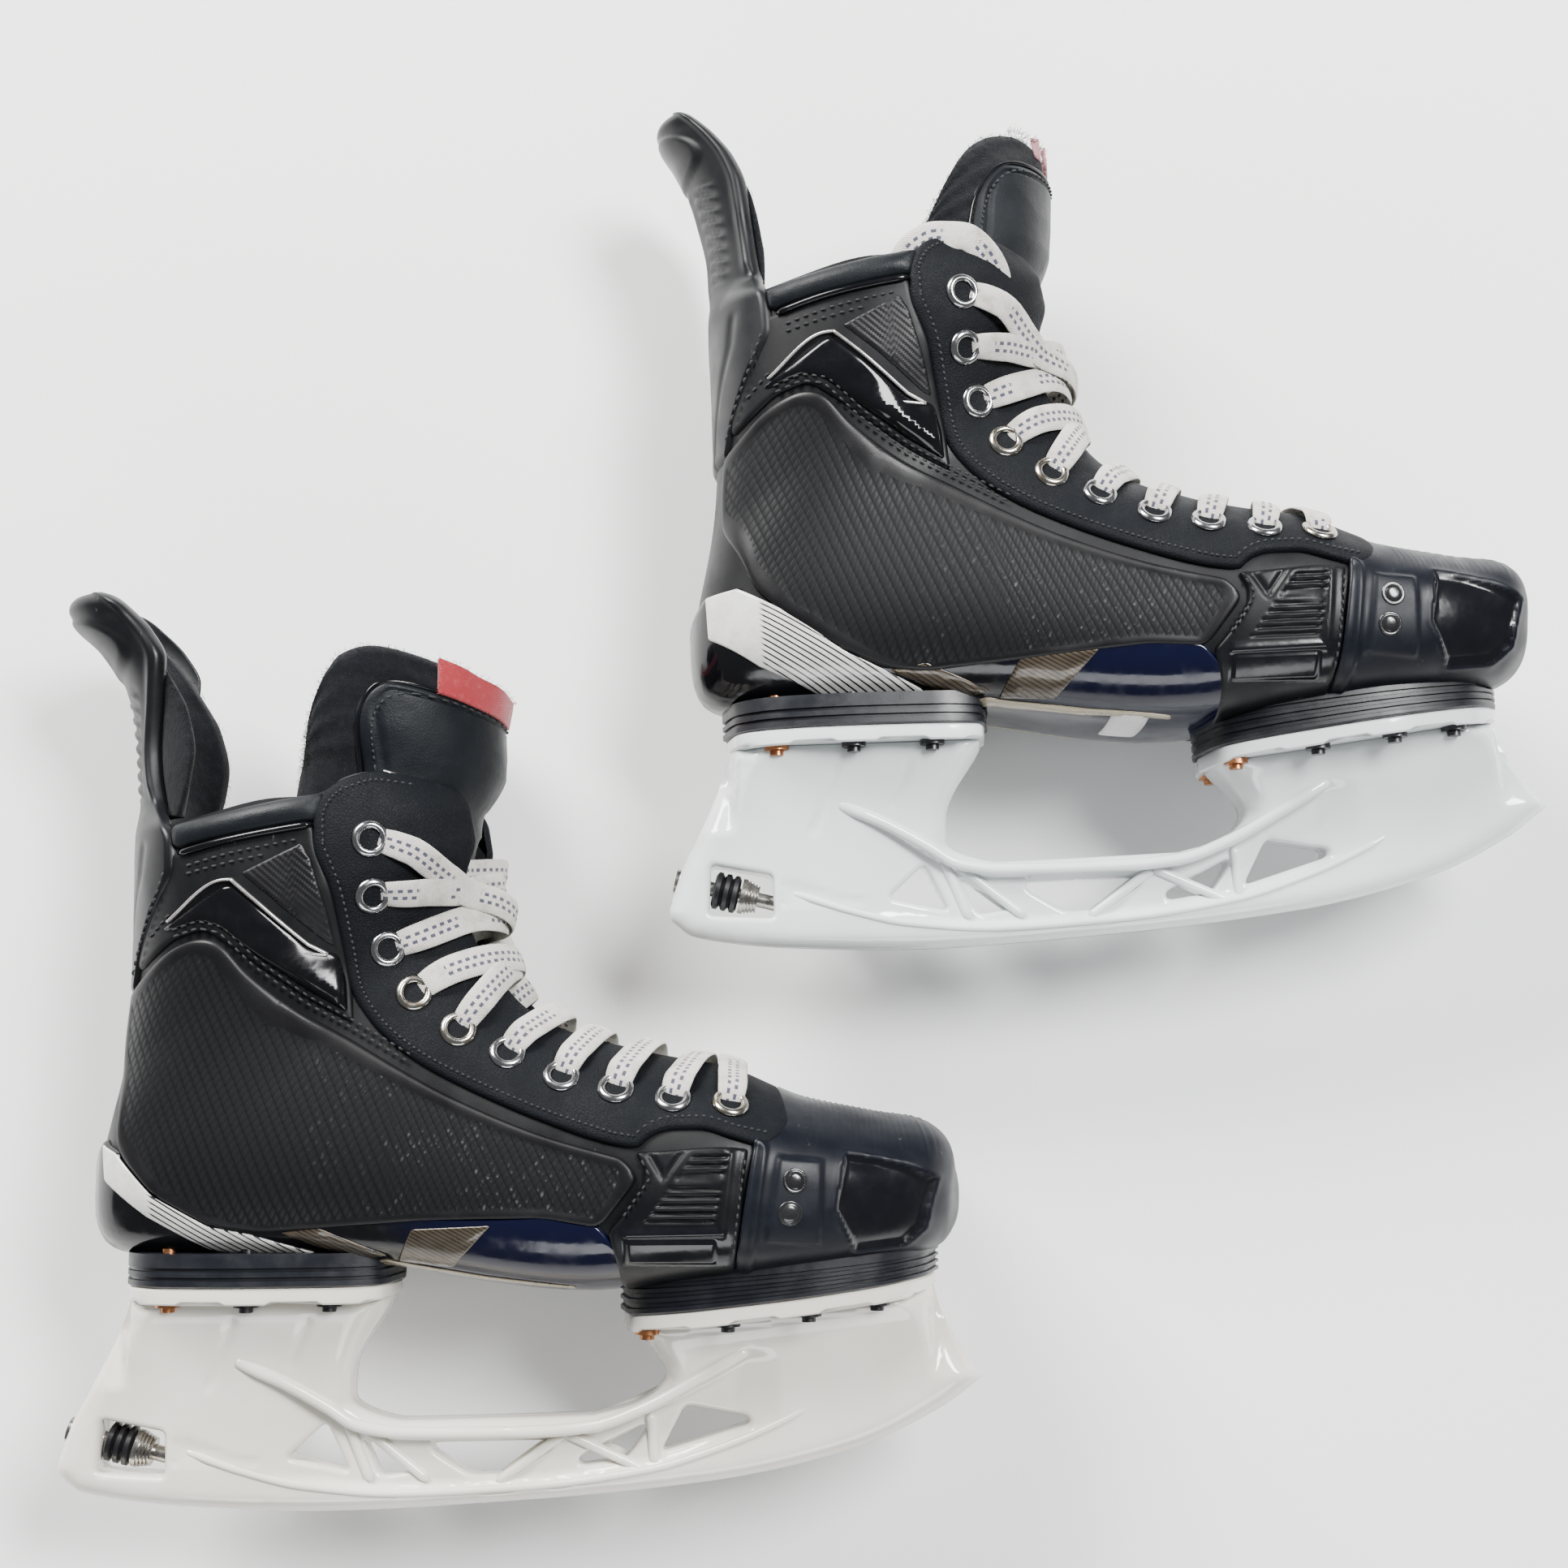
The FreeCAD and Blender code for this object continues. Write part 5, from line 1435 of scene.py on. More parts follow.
RAIL = [(58.0, 48.8), (63.0, 46.4), (74.0, 41.4), (87.0, 34.0), (98.0, 27.4), (112.0, 25.2),
        (134.0, 24.9), (156.0, 25.2), (172.0, 26.6), (188.0, 32.0), (206.0, 41.4), (222.0, 50.6)]
KEEL = [(42.0, 20.0), (60.0, 13.6), (80.0, 8.6), (110.0, 6.0), (150.0, 7.6), (190.0, 12.6),
        (214.0, 19.6), (232.0, 27.0), (244.0, 33.4)]
BRANCHES = [[(92.6, 30.2), (101.0, 9.6)], [(96.6, 28.0), (119.4, 9.6)], [(163.0, 24.0), (141.0, 8.6)],
            [(163.2, 24.0), (189.6, 11.6)], [(190.4, 30.6), (192.0, 13.4)]]
SCORES = [[(28.0, 62.0), (20.0, 42.0)], [(58.0, 60.0), (50.0, 40.0)], [(82.0, 61.0), (76.0, 47.0)]]


SLOT_HALF, SLOT_DEPTH = 1.6, 8.5
BRACED_SINK = 3.1  # how far the part between the rails lies below them
UNDERSIDE = ([0, 46, 86, 150, 212, 256, 284, 298], [14, 3, 1.2, 4, 9.8, 19.4, 32, 42])


def holder(foot):
    """The runner holder: towers, bridge rails, braces and the runner's slot."""
    outline = holder_outline()
    holes = [resample(rounded(w, 2.6), 1.3) for w in WINDOWS]
    holes.append(resample(rounded(LOCK_WINDOW, 2.0), 1.2))
    points, faces, _ = fill(resample(outline, 1.5), 1.7, (0.5, 1.1, 2.0, 3.2), holes)
    x, z = points.T
    half = stem_half(x, z)
    edge = line_distance(points, outline, closed=True)
    hole = np.min([line_distance(points, h, closed=True) for h in holes], axis=0)
    round_off = np.minimum(half * 0.75, 7.0)
    t = 1 - np.clip(edge / round_off, 0, 1)
    half = half * np.sqrt(1 - 0.72 * t**2)
    # The braced part between the two rails is thinner than the rails.
    rail = smooth_path(RAIL, 1.5)
    keel = smooth_path(KEEL, 1.5)
    top_z = np.interp(x, rail[:, 0], rail[:, 1])
    low_z = np.interp(x, keel[:, 0], keel[:, 1])
    between = fall(z, top_z, 2.5) * rise(z, low_z, 2.5)
    between = between * rise(x, 66, 20) * fall(x, 232, 14)
    half = half - BRACED_SINK * between
    for score in SCORES:
        half = half - 0.9 * bell(line_distance(points, np.array(score)), 1.0)
    dent = line_distance(points, np.array([(40.0, 17.0), (40.0, 25.0), (62.0, 17.4)]), closed=True)
    hollow = inside(points, np.array([(39.0, 16.0), (39.0, 26.0), (66.0, 16.4)]))
    half = half - np.where(hollow, 0.8 * np.clip(dent / 1.5, 0.2, 1), 0)
    half = half - 1.4 * (1 - np.clip(hole / 1.3, 0, 1)) ** 2
    half = np.maximum(half, 2.6)
    top = np.stack([x, -half, z], 1)
    bottom = np.stack([x, half, z], 1)
    under = (edge < 0.05) & (z < np.interp(x, *UNDERSIDE)) & (z < 45) & (x > 5) & (x < 290)
    lifts = np.where(under, SLOT_DEPTH, 0.0)
    slot_half = np.where(under, SLOT_HALF, half * 0.4)
    steps = [np.stack([x, sign * slot_half, z + rise_by], 1)
             for sign, rise_by in ((-1, 0), (-1, lifts), (1, lifts), (1, 0))]
    parts = [layered_sheet([top, *steps, bottom], faces)]
    for side in (-1, 1):
        for line, radius, proud in [(rail, 2.1, 0.4), (keel, 1.3, -0.5)] + [
                (smooth_path(brace, 1.5), 1.7, -BRACED_SINK) for brace in BRANCHES]:
            y = side * (stem_half(line[:, 0], line[:, 1]) + proud)
            ease = np.clip(np.minimum(np.arange(len(line)), np.arange(len(line))[::-1]) / 6, 0.15, 1)
            sunk = side * radius * (1 - ease) * (proud > -3)
            parts.append(tube(np.stack([line[:, 0], y - sunk, line[:, 1]], 1), radius))
    piece = build(foot, "holder_shaped", *joined(parts), LOOK[f"holder_{foot.name}"],
                  replaces=["holder"], slot="holder")
    add_sharpness(piece, 62)
    flanges(foot)


def layered_sheet(layers, faces):
    """A closed body from a sheet's top, the levels of its rim, and its bottom."""
    count = len(layers[0])
    rim = border_edges(faces)
    every = [faces, faces[:, ::-1] + count * (len(layers) - 1)]
    for i in range(len(layers) - 1):
        a, b = i * count, (i + 1) * count
        every.append(np.stack([rim[:, 1] + a, rim[:, 0] + a, rim[:, 0] + b], 1))
        every.append(np.stack([rim[:, 1] + a, rim[:, 0] + b, rim[:, 1] + b], 1))
    every = np.concatenate(every)
    used, every = np.unique(every, return_inverse=True)
    return np.concatenate(layers)[used], every.reshape(-1, 3)


def plan_ring(plan):
    """A smooth closed outline seen from above, the same on both sides."""
    half = smooth_path(plan)
    other = half[1:-1][::-1] * [1, -1]
    return np.concatenate([half, other])


def stacked(plan, levels, height_at):
    """A closed body with that outline: levels of (share of the height, inset)."""
    ring = resample(plan, 1.8)
    along = unit(np.roll(ring, -1, 0) - np.roll(ring, 1, 0))
    out = np.stack([along[:, 1], -along[:, 0]], 1)
    if ((ring + out * 0.5)[:, 1] ** 2).sum() < (ring[:, 1] ** 2).sum():
        out = -out
    rows = []
    for share, shrink in levels:
        at = ring - out * shrink
        low, high = height_at(at[:, 0])
        rows.append(np.column_stack([at, low + (high - low) * share]))
    return np.concatenate(rows), capped_faces(len(rows), len(ring))


def flanges(foot):
    """The flanges, with a stepped lower edge, and the rubber risers on them."""
    def flange_under(x):
        """The flange's thickness, stepped along its length."""
        return 4.5 + 0.9 * (np.sin(x / 4.6) > 0.1)

    def heel_flange(x):
        return HOLDER_TOP - flange_under(x), np.full(len(x), HOLDER_TOP)

    def front_flange(x):
        return slope_z(x) - flange_under(x), slope_z(x)

    levels = [(0.0, 0.9), (0.1, 0.2), (0.3, 0.0), (0.85, 0.0), (1.0, 0.7)]
    parts = [stacked(plan_ring(HEEL_PLAN), levels, heel_flange),
             stacked(plan_ring(FRONT_PLAN), levels, front_flange)]
    piece = build(foot, "holder_flanges", *joined(parts), LOOK[f"holder_{foot.name}"],
                  slot="holder")
    add_sharpness(piece, 40)

    def grooved(count, depth):
        rows = [(0.0, 0.8), (0.05, 0.0)]
        for i in range(count):
            middle = (i + 1) / (count + 1) * 0.8
            rows += [(middle - 0.06, 0.0), (middle - 0.04, depth), (middle + 0.04, depth),
                     (middle + 0.06, 0.0)]
        return rows + [(1.0, 0.0)]

    def heel_riser(x):
        return np.full(len(x), HOLDER_TOP), np.full(len(x), 83.0)

    def toe_riser(x):
        return slope_z(x), 77.0 + (x - 177.0) * 0.068

    def wider(plan):
        return [(x, y * 1.03) for x, y in plan]

    for name, plan, height, count in (("heel_riser", HEEL_PLAN, heel_riser, 2),
                                      ("toe_riser", FRONT_PLAN, toe_riser, 3)):
        ring_plan = wider(plan)
        ring_plan[0] = (ring_plan[0][0] - 1.2, 0)
        ring_plan[-1] = (ring_plan[-1][0] + 1.2, 0)
        piece = build(foot, f"{name}_grooved",
                      *stacked(plan_ring(ring_plan), grooved(count, 0.9), height), LOOK["riser"],
                      replaces=[name], slot="riser")
        add_sharpness(piece, 40)


# --- tongue, tendon guard and felt --------------------------------------------------------

# Level, middle, half length and half width of the leg round which each stands.
TONGUE_LEVELS = {
    "right": [(236.0, 95.4, 44.6, 38.0), (250.0, 94.6, 46.0, 41.5), (264.0, 94.0, 48.4, 43.0),
              (280.0, 93.0, 49.4, 43.5)],
    "left": [(236.0, 95.4, 43.6, 36.0), (250.0, 95.0, 45.4, 35.0), (264.0, 95.4, 46.6, 33.0),
             (282.0, 95.0, 44.0, 30.0)],
}
GUARD_LEVELS = {
    "right": [(214.0, 50.2, 27.2, 29.4), (224.0, 50.0, 27.0, 29.0), (238.0, 48.4, 26.2, 28.0),
              (256.0, 45.0, 25.0, 26.0), (268.0, 39.8, 24.0, 24.5), (278.0, 32.4, 24.0, 23.0),
              (287.0, 22.6, 24.0, 21.0), (298.0, 19.0, 23.0, 19.0)],
    "left": [(214.0, 50.2, 27.2, 29.4), (224.0, 50.4, 26.6, 28.6), (238.0, 49.4, 25.4, 27.0),
             (256.0, 44.8, 24.0, 25.0), (268.0, 40.4, 23.0, 23.5), (278.0, 35.6, 22.4, 22.0),
             (287.0, 30.6, 22.0, 20.0), (298.0, 28.6, 21.0, 18.0)],
}
GUARD_LOW_Z, GUARD_TOP_Z = 165.0, 294.6
GUARD_CURL_Z = 262.0
GUARD_CURL = {"right": 0.1, "left": -0.08}  # how far it is drawn out upward above that level


def from_rows(rows, column, at):
    """The smooth curve of a column of rows against their first column."""
    return curve([(row[0], row[column]) for row in rows], at)


def edge_angle(levels, z, edge_x, inset=0.0):
    """How far round the leg, at a height, the point at edge_x lies."""
    middle, long = from_rows(levels, 1, z), from_rows(levels, 2, z)
    return np.degrees(np.arccos(np.clip((edge_x - middle) / (long - inset), -1, 1)))


def curl(foot, points, z):
    """Draws a guard's points out upward above its curl."""
    points[..., 2] += GUARD_CURL[foot.name] * np.clip(z - GUARD_CURL_Z, 0, None)


def leg_tube(levels, z, angle, offset):
    """Points round the leg: angle is 0 at the front and 180 at the back."""
    z, angle, offset = np.broadcast_arrays(z, angle, offset)
    middle, long, wide = (from_rows(levels, column, z) for column in (1, 2, 3))
    c, s = np.cos(np.radians(angle)), np.sin(np.radians(angle))
    normal = unit(np.stack([c * wide, s * long], -1))
    x = middle + long * c + offset * normal[..., 0]
    y = wide * s + offset * normal[..., 1]
    return np.stack([x, y, z], -1)


def fuzz(points, normals, count, length, radius, seed):
    """Loose fibres, as thin bent spikes that stand out of a surface."""
    chance = np.random.default_rng(seed)
    pick = chance.integers(0, len(points), count)
    roots = points[pick] + chance.normal(0, 0.5, (count, 3))
    lean = unit(normals[pick] + chance.normal(0, 0.65, (count, 3)))
    sizes = length * chance.uniform(0.4, 1.3, count)
    across = unit(np.cross(lean, chance.normal(0, 1, (count, 3))))
    third = np.cross(lean, across)
    out, faces = [], []
    for i in range(count):
        at = len(out)
        for k in range(3):
            angle = 2 * math.pi * k / 3
            out.append(roots[i] + radius * (across[i] * math.cos(angle) + third[i] * math.sin(angle)))
        out.append(roots[i] + lean[i] * sizes[i] + across[i] * sizes[i] * 0.25)
        faces += [(at, at + 1, at + 3), (at + 1, at + 2, at + 3), (at + 2, at, at + 3), (at + 2, at + 1, at)]
    return np.array(out), faces


# For each bend between the skate and the body that moves on it: from z, to z, and its x.
BENDS = {"tongue_upper": (229.0, 243.0, 130.0), "guard": (216.0, 236.0, 22.6)}


def soft_piece(foot, name, points, faces, look, moving, replaces, slot):
    """As build, for a piece at a joint, but on no body: its place is baked into its mesh, and it does not bend."""
    piece = build(foot, name, points, faces, LOOK[look], replaces=replaces, slot=slot, body=None)
    z_from, z_to, x = BENDS[moving]
    ends = foot.world([(x, 0, z_from), (x, 0, z_to)])
    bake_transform(piece)
    return piece


# The tongue's top edge: share across, angle round the leg, height.
TONGUE_TOP = {
    "right": [(0.0, 0.0, 262.5), (0.25, 32.0, 266.5), (0.45, 50.0, 270.5), (0.62, 78.0, 275.0),
              (0.75, 90.0, 272.6), (0.85, 97.0, 266.8), (0.93, 102.0, 259.0), (1.0, 108.0, 247.0)],
    "left": [(0.0, 0.0, 275.5), (0.25, 22.0, 277.0), (0.45, 40.0, 277.5), (0.62, 55.0, 275.6),
             (0.75, 66.0, 271.6), (0.85, 74.0, 265.6), (0.93, 80.0, 257.6), (1.0, 87.0, 246.0)],
}
TONGUE_REACH = {"right": 114.0, "left": 98.0}  # degrees round the leg at the fold
TONGUE_LOW_Z = 232.0


def tongue_surface(foot, c, v, offset, grow=0.0):
    """A point of the tongue: c runs across it, and v from the toe (0) by the fold (1) up (2)."""
    c, v, offset = np.broadcast_arrays(np.asarray(c, float), np.asarray(v, float), offset)
    low = np.clip(v, 0, 1)
    # Below the fold it lies on the instep inside the boot.
    key = curve([(0.0, 47.0), (0.45, 0.0), (0.7, -30.0), (1.0, -82.0)], low)
    reach = curve([(0.0, 48.0), (0.45, 50.0), (0.7, 54.0), (1.0, 92.0)], low)
    lower, _ = boot(key, c * reach, -8.8 + offset)
    share = np.clip(v - 1, 0, 1)
    top = TONGUE_TOP[foot.name]
    angle_top = np.sign(c) * from_rows(top, 1, np.abs(c))
    z_top = from_rows(top, 2, np.abs(c)) + grow
    angle = c * TONGUE_REACH[foot.name] * (1 - share) + angle_top * share
    z = TONGUE_LOW_Z + (z_top - TONGUE_LOW_Z) * share
    upper = leg_tube(TONGUE_LEVELS[foot.name], z, angle, offset)
    t = ease(rise(v, 0.86, 0.3))[..., None]
    return lower * (1 - t) + upper * t


FACE_SIDE, FACE_TOP = 0.74, 1.74  # how far the tongue's face reaches across and up


def tongue(foot):
    """The padded tongue: leather face, felt all round it, label or torn threads on top."""
    rows = np.concatenate([np.linspace(0, 0.85, 44), np.linspace(0.87, 2.0, 84)])
    v, c = lattice(rows, np.linspace(-1, 1, 111))
    ripple = 0.35 * np.sin(c * 13 + v * 9) * np.sin(v * 21)
    rim = np.sqrt(np.clip(np.minimum((1 - np.abs(c)) / 0.07, (2.0 - v) / 0.06), 0, 1))
    outer = tongue_surface(foot, c, v, -3.4 + 2.2 * rim + ripple * rim)
    inner = tongue_surface(foot, c, v, -5.6 - 2.6 * rim + 0.5 * ripple)
    felt = soft_piece(foot, "tongue_felt_lining", *closed_grid(outer, inner), "felt",
                      "tongue_upper", ["tongue_felt"], "felt")
    border = (v > 1.05) & ((np.abs(c) > 0.955) | (v > 1.95))
    middle = np.array([97.0, 0.0, 240.0])
    fibres = [fuzz(outer[border], unit(outer[border] - middle), 1500, 1.5, 0.1, 11)]
    band = (v > 1.05) & ((np.abs(c) > 0.78) | (v > 1.8))
    fibres.append(fuzz(outer[band], unit(outer[band] - middle), 1400, 0.8, 0.09, 12))
    build(foot, "tongue_fibres", *joined(fibres), LOOK["felt"], body="tongue_upper", slot="felt")

    v_face = np.where(v > 1, 1 + (v - 1) * (FACE_TOP - 1), v)
    c_face = c * FACE_SIDE
    # The face's corners are round.
    corner = np.clip((v_face - 1.42) / (FACE_TOP - 1.42), 0, 1)
    c_face = c_face * (1 - 0.2 * corner**2.5)
    side, top = (1 - np.abs(c)) * FACE_SIDE, np.clip(FACE_TOP - v_face, 0, 1) * 1.1
    rim = np.minimum(side, top)
    full = 1 - (1 - np.clip(rim / 0.07, 0, 1)) ** 2
    upper = rise(v_face, 0.95, 0.1)
    channel = bell(rim - 0.085, 0.012) * upper
    wave = 0.5 * np.sin(c_face * 7.0 + v_face * 5.0) * np.sin(v_face * 9.0 + 1.0)
    swell = 1.0 * np.clip(rim / 0.4, 0, 1)
    height = 1.5 * full + swell + 0.18 * wave - 0.8 * channel
    face = tongue_surface(foot, c_face, v_face, height - 1.3)
    back = tongue_surface(foot, c_face, v_face, -3.6)
    piece = soft_piece(foot, "tongue_face", *closed_grid(face, back), "tongue", "tongue_upper",
                       ["tongue", "tongue_top"], "tongue")
    tongue_details(foot)


def tongue_line(foot, points, offset):
    """A line on the tongue from rows of (c, v)."""
    line = smooth_path(points, 0.012)
    return tongue_surface(foot, line[:, 0], line[:, 1], offset)


def tongue_details(foot):
    """Piping, seams, silver trim, ribs, and the label or what is left of it."""
    parts, seams, trims = [], [], []
    for side in (-1, 1):
        rim = [(side * 0.745, 1.02), (side * 0.735, 1.35), (side * 0.7, 1.55), (side * 0.64, 1.69),
               (side * 0.54, 1.74), (side * 0.3, 1.75), (0.0, 1.75)]
        parts.append(tube(tongue_line(foot, rim, -0.7), 0.75))
        line = smooth_path([(side * 0.69, 1.04), (side * 0.68, 1.33), (side * 0.65, 1.5),
                            (side * 0.59, 1.62), (side * 0.5, 1.675), (side * 0.3, 1.685),
                            (0.0, 1.685)], 0.045)
        for a, b in zip(line[:-1], line[1:]):
            ends = np.array([a + (b - a) * 0.18, a + (b - a) * 0.82])
            on = tongue_surface(foot, ends[:, 0], ends[:, 1], 0.35)
            out = tongue_surface(foot, ends[:1, 0], ends[:1, 1], 1.35)[0] - on[0]
            seams.append(capsule(on[0], on[1], unit(out), 0.4))
        for k in range(9):
            shift = 0.014 * k
            rib = [(side * (0.66 - shift), 0.9 + 0.9 * shift), (side * (0.56 - shift), 0.94),
                   (side * (0.46 - shift), 1.0 - 0.8 * shift)]
            parts.append(tube(tongue_line(foot, rib, 1.1), 0.32, 6))
        path = [(side * 0.66, 1.1), (side * 0.54, 1.06), (side * 0.44, 0.99), (side * 0.34, 0.88),
                (side * 0.33, 0.82), (side * 0.42, 0.76)]
        trims.append(tube(tongue_line(foot, path, 1.25), 0.55, 6))
    more = {"body": "tongue_upper", "slot": "tongue"}
    build(foot, "tongue_piping", *joined(parts), LOOK["badge"], **more)
    build(foot, "tongue_stitches", *joined(seams), LOOK["thread"], **more)
    build(foot, "tongue_trim", *joined(trims), LOOK["silver"], **more)
    middle = np.array([97.0, 0.0, 235.0])
    if foot.name == "right":
        share, c = lattice(np.linspace(0, 1, 16), np.linspace(-0.47, 0.47, 60))
        v = 1.72 + 0.29 * share
        wave = 0.25 * np.sin(c * 31) * share
        outer = tongue_surface(foot, c, v, 0.9 + wave, 0.6 * share)
        inner = tongue_surface(foot, c, v, -0.9 + wave, 0.6 * share)
        build(foot, "tongue_label_woven", *closed_grid(outer, inner), LOOK["label"],
              replaces=["tongue_label"], body="tongue_upper", slot="label")
        where = np.concatenate([outer[-1], outer[:, 0], outer[:, -1]])
        spikes = fuzz(where, unit(where - middle), 260, 1.4, 0.1, 3)
        build(foot, "label_threads", *spikes, LOOK["label"], body="tongue_upper", slot="label")
    else:
        chance = np.random.default_rng(5)
        shreds = []
        for k in range(7):
            start, wide = chance.uniform(-0.5, 0.45), chance.uniform(0.03, 0.06)
            share, c = lattice(np.linspace(0, 1, 6), np.linspace(start, start + wide, 8))
            v = 1.86 + 0.15 * share
            lift = 0.2 + 1.6 * share * np.sin(c * 40 + k) ** 2
            outer = tongue_surface(foot, c, v, lift, 1.2 * share)
            inner = tongue_surface(foot, c, v, lift - 0.8, 1.2 * share)
            shreds.append(closed_grid(outer, inner))
        build(foot, "torn_label", *joined(shreds), LOOK["pink"], body="tongue_upper", slot="felt")
        where = tongue_surface(foot, np.linspace(-0.55, 0.55, 80), np.full(80, 1.98), 0.0, 0.8)
        spikes = fuzz(where, unit(where - middle), 160, 3.0, 0.12, 9)
        build(foot, "torn_threads", *spikes, LOOK["thread"], body="tongue_upper", slot="felt")


LOW_EDGE = [(165.0, 25.8), (176.0, 28.6), (190.0, 34.6), (204.4, 42.0), (212.0, 41.6)]
GUARD_EDGE_X = {
    "right": LOW_EDGE + [(219.0, 38.0), (226.0, 33.0), (245.0, 29.6), (262.0, 31.0), (273.0, 32.0),
                         (282.0, 27.0), (289.4, 19.0), (293.0, 13.6), (294.8, 8.0)],
    "left": LOW_EDGE + [(219.0, 40.0), (226.0, 38.6), (245.0, 36.4), (262.0, 34.4), (273.0, 30.6),
                        (282.0, 25.0), (289.4, 19.0), (293.0, 15.6), (294.8, 12.0)],
}
FELT_EDGE_X = {
    "right": [(222.0, 38.0), (236.0, 41.6), (243.0, 42.4), (257.0, 39.4), (267.0, 33.4),
              (279.0, 24.0), (286.0, 16.0)],
    "left": [(222.0, 39.0), (236.0, 39.6), (243.0, 38.8), (257.0, 36.4), (267.0, 32.0),
             (279.0, 25.0), (286.0, 20.0)],
}


def guard_surface(foot, z, c, offset):
    """The tendon guard: c is 0 at the back and 1 at its front edge, z its height."""
    z, c, offset = np.broadcast_arrays(z, c, offset)
    edge_x = curve(GUARD_EDGE_X[foot.name], z)
    # On the boot, below the collar.
    low_z = np.minimum(z, 226.0)
    edge_key, edge_turn = side_key(edge_x, low_z), side_turn(edge_x, low_z)
    back_keys = np.linspace(-95, -52, 120)
    back = boot_raw(back_keys, 180.0)
    order = np.argsort(back[:, 2])
    back_key = np.interp(low_z, back[order, 2], back_keys[order])
    share = np.abs(c)
    key = back_key + (edge_key - back_key) * share**2
    turn = 180 - np.sign(c) * (180 - edge_turn) * share
    lower, _ = boot(key, turn, offset)
    levels = GUARD_LEVELS[foot.name]
    widest = edge_angle(levels, z, edge_x)
    upper = leg_tube(levels, np.maximum(z, 214.0), 180 - c * (180 - widest), offset)
    curl(foot, upper, z)
    t = ease(rise(z, 216.0, 12.0))[..., None]
    return lower * (1 - t) + upper * t


def tendon_guard(foot):
    """The tendon guard with its rim, ribs and round pad, and the felt inside it."""
    rows = np.concatenate([np.linspace(GUARD_LOW_Z, 290.0, 150),
                           np.linspace(290.6, GUARD_TOP_Z, 8)])
    z, c = lattice(rows, np.linspace(-1, 1, 81))
    share = np.abs(c)
    rim = bell(share - 0.9, 0.055) * rise(z, 226, 6)
    rim += bell(z - 290.5, 2.2)
    ribs = rise(z, 228, 3) * fall(z, 266, 3)
    ribs = ribs * np.exp(-((share - 0.42) / 0.2) ** 4)
    wave = np.clip(np.sin((z + 9 * share) * 2 * math.pi / 4.6) * 1.5, -1, 1)
    pad = np.clip(1.4 - ((z - 278.5) / 8.6) ** 2 - (c / 0.62) ** 2, 0, 0.4) / 0.4
    spine = bell(share, 0.1) * rise(z, 224, 8) * fall(z, 270, 5)
    seam = bell(share - (0.5 + 0.25 * (z - 190) / 40), 0.05) * fall(z, 214, 3)
    thick = 1.6 + 0.9 * rise(z, 168, 30)
    edge = np.minimum(fall(share, 1, 0.05), rise(z, GUARD_LOW_Z, 2.0))
    edge = np.minimum(edge, fall(z, GUARD_TOP_Z, 2.0))
    height = thick * np.sqrt(edge) + 1.0 * rim + 0.7 * ribs * wave + 1.1 * pad
    height = height + 0.8 * spine - 0.6 * seam
    outer = guard_surface(foot, z, c, height)
    inner = guard_surface(foot, z, c, np.where(z < 224, -0.5, -1.6))
    soft_piece(foot, "tendon_guard_moulding", *closed_grid(outer, inner), "guard_plastic",
               "guard", ["tendon_guard", "tendon_guard_base"], "guard_plastic")
    parts = []
    for side in (-1, 1):
        seam = [(27.0, 170.0), (31.0, 182.0), (36.6, 195.0), (39.6, 203.0)]
        parts += stitch_line(seam, side, 2.4, 3.0)
    build(foot, "guard_stitches", *joined(parts), LOOK["thread"], slot="guard_plastic")
    z, c = lattice(np.linspace(222.0, 286.0, 70), np.linspace(-1, 1, 60))
    levels = GUARD_LEVELS[foot.name]
    edge_x = curve(FELT_EDGE_X[foot.name], z)
    angle = 180 - c * (180 - edge_angle(levels, z, edge_x, 2.0))
    puff = 0.6 * np.sin(c * 9 + z / 7) * np.sin(z / 5.3)
    soft = np.sqrt(np.clip((1 - np.abs(c)) / 0.08, 0.15, 1))
    outer = leg_tube(levels, z, angle, -1.9 + 0.3 * puff * np.abs(c))
    inner = leg_tube(levels, z, angle, -2.2 - 4.2 * soft - 0.4 * puff)
    for sheet in (outer, inner):
        curl(foot, sheet, z)
    felt = soft_piece(foot, "guard_felt_pad", *closed_grid(outer, inner), "felt", "guard",
                      ["guard_felt"], "felt")
    border = (np.abs(c) > 0.93) | (z > 283)
    where = outer[border & (z > 230)]
    spikes = fuzz(where, unit(where - np.array([30.0, 0, 240.0])), 900, 1.6, 0.09, 21)
    build(foot, "guard_fibres", *spikes, LOOK["felt"], body="guard", slot="felt")


# --- inside of the boot -------------------------------------------------------------------


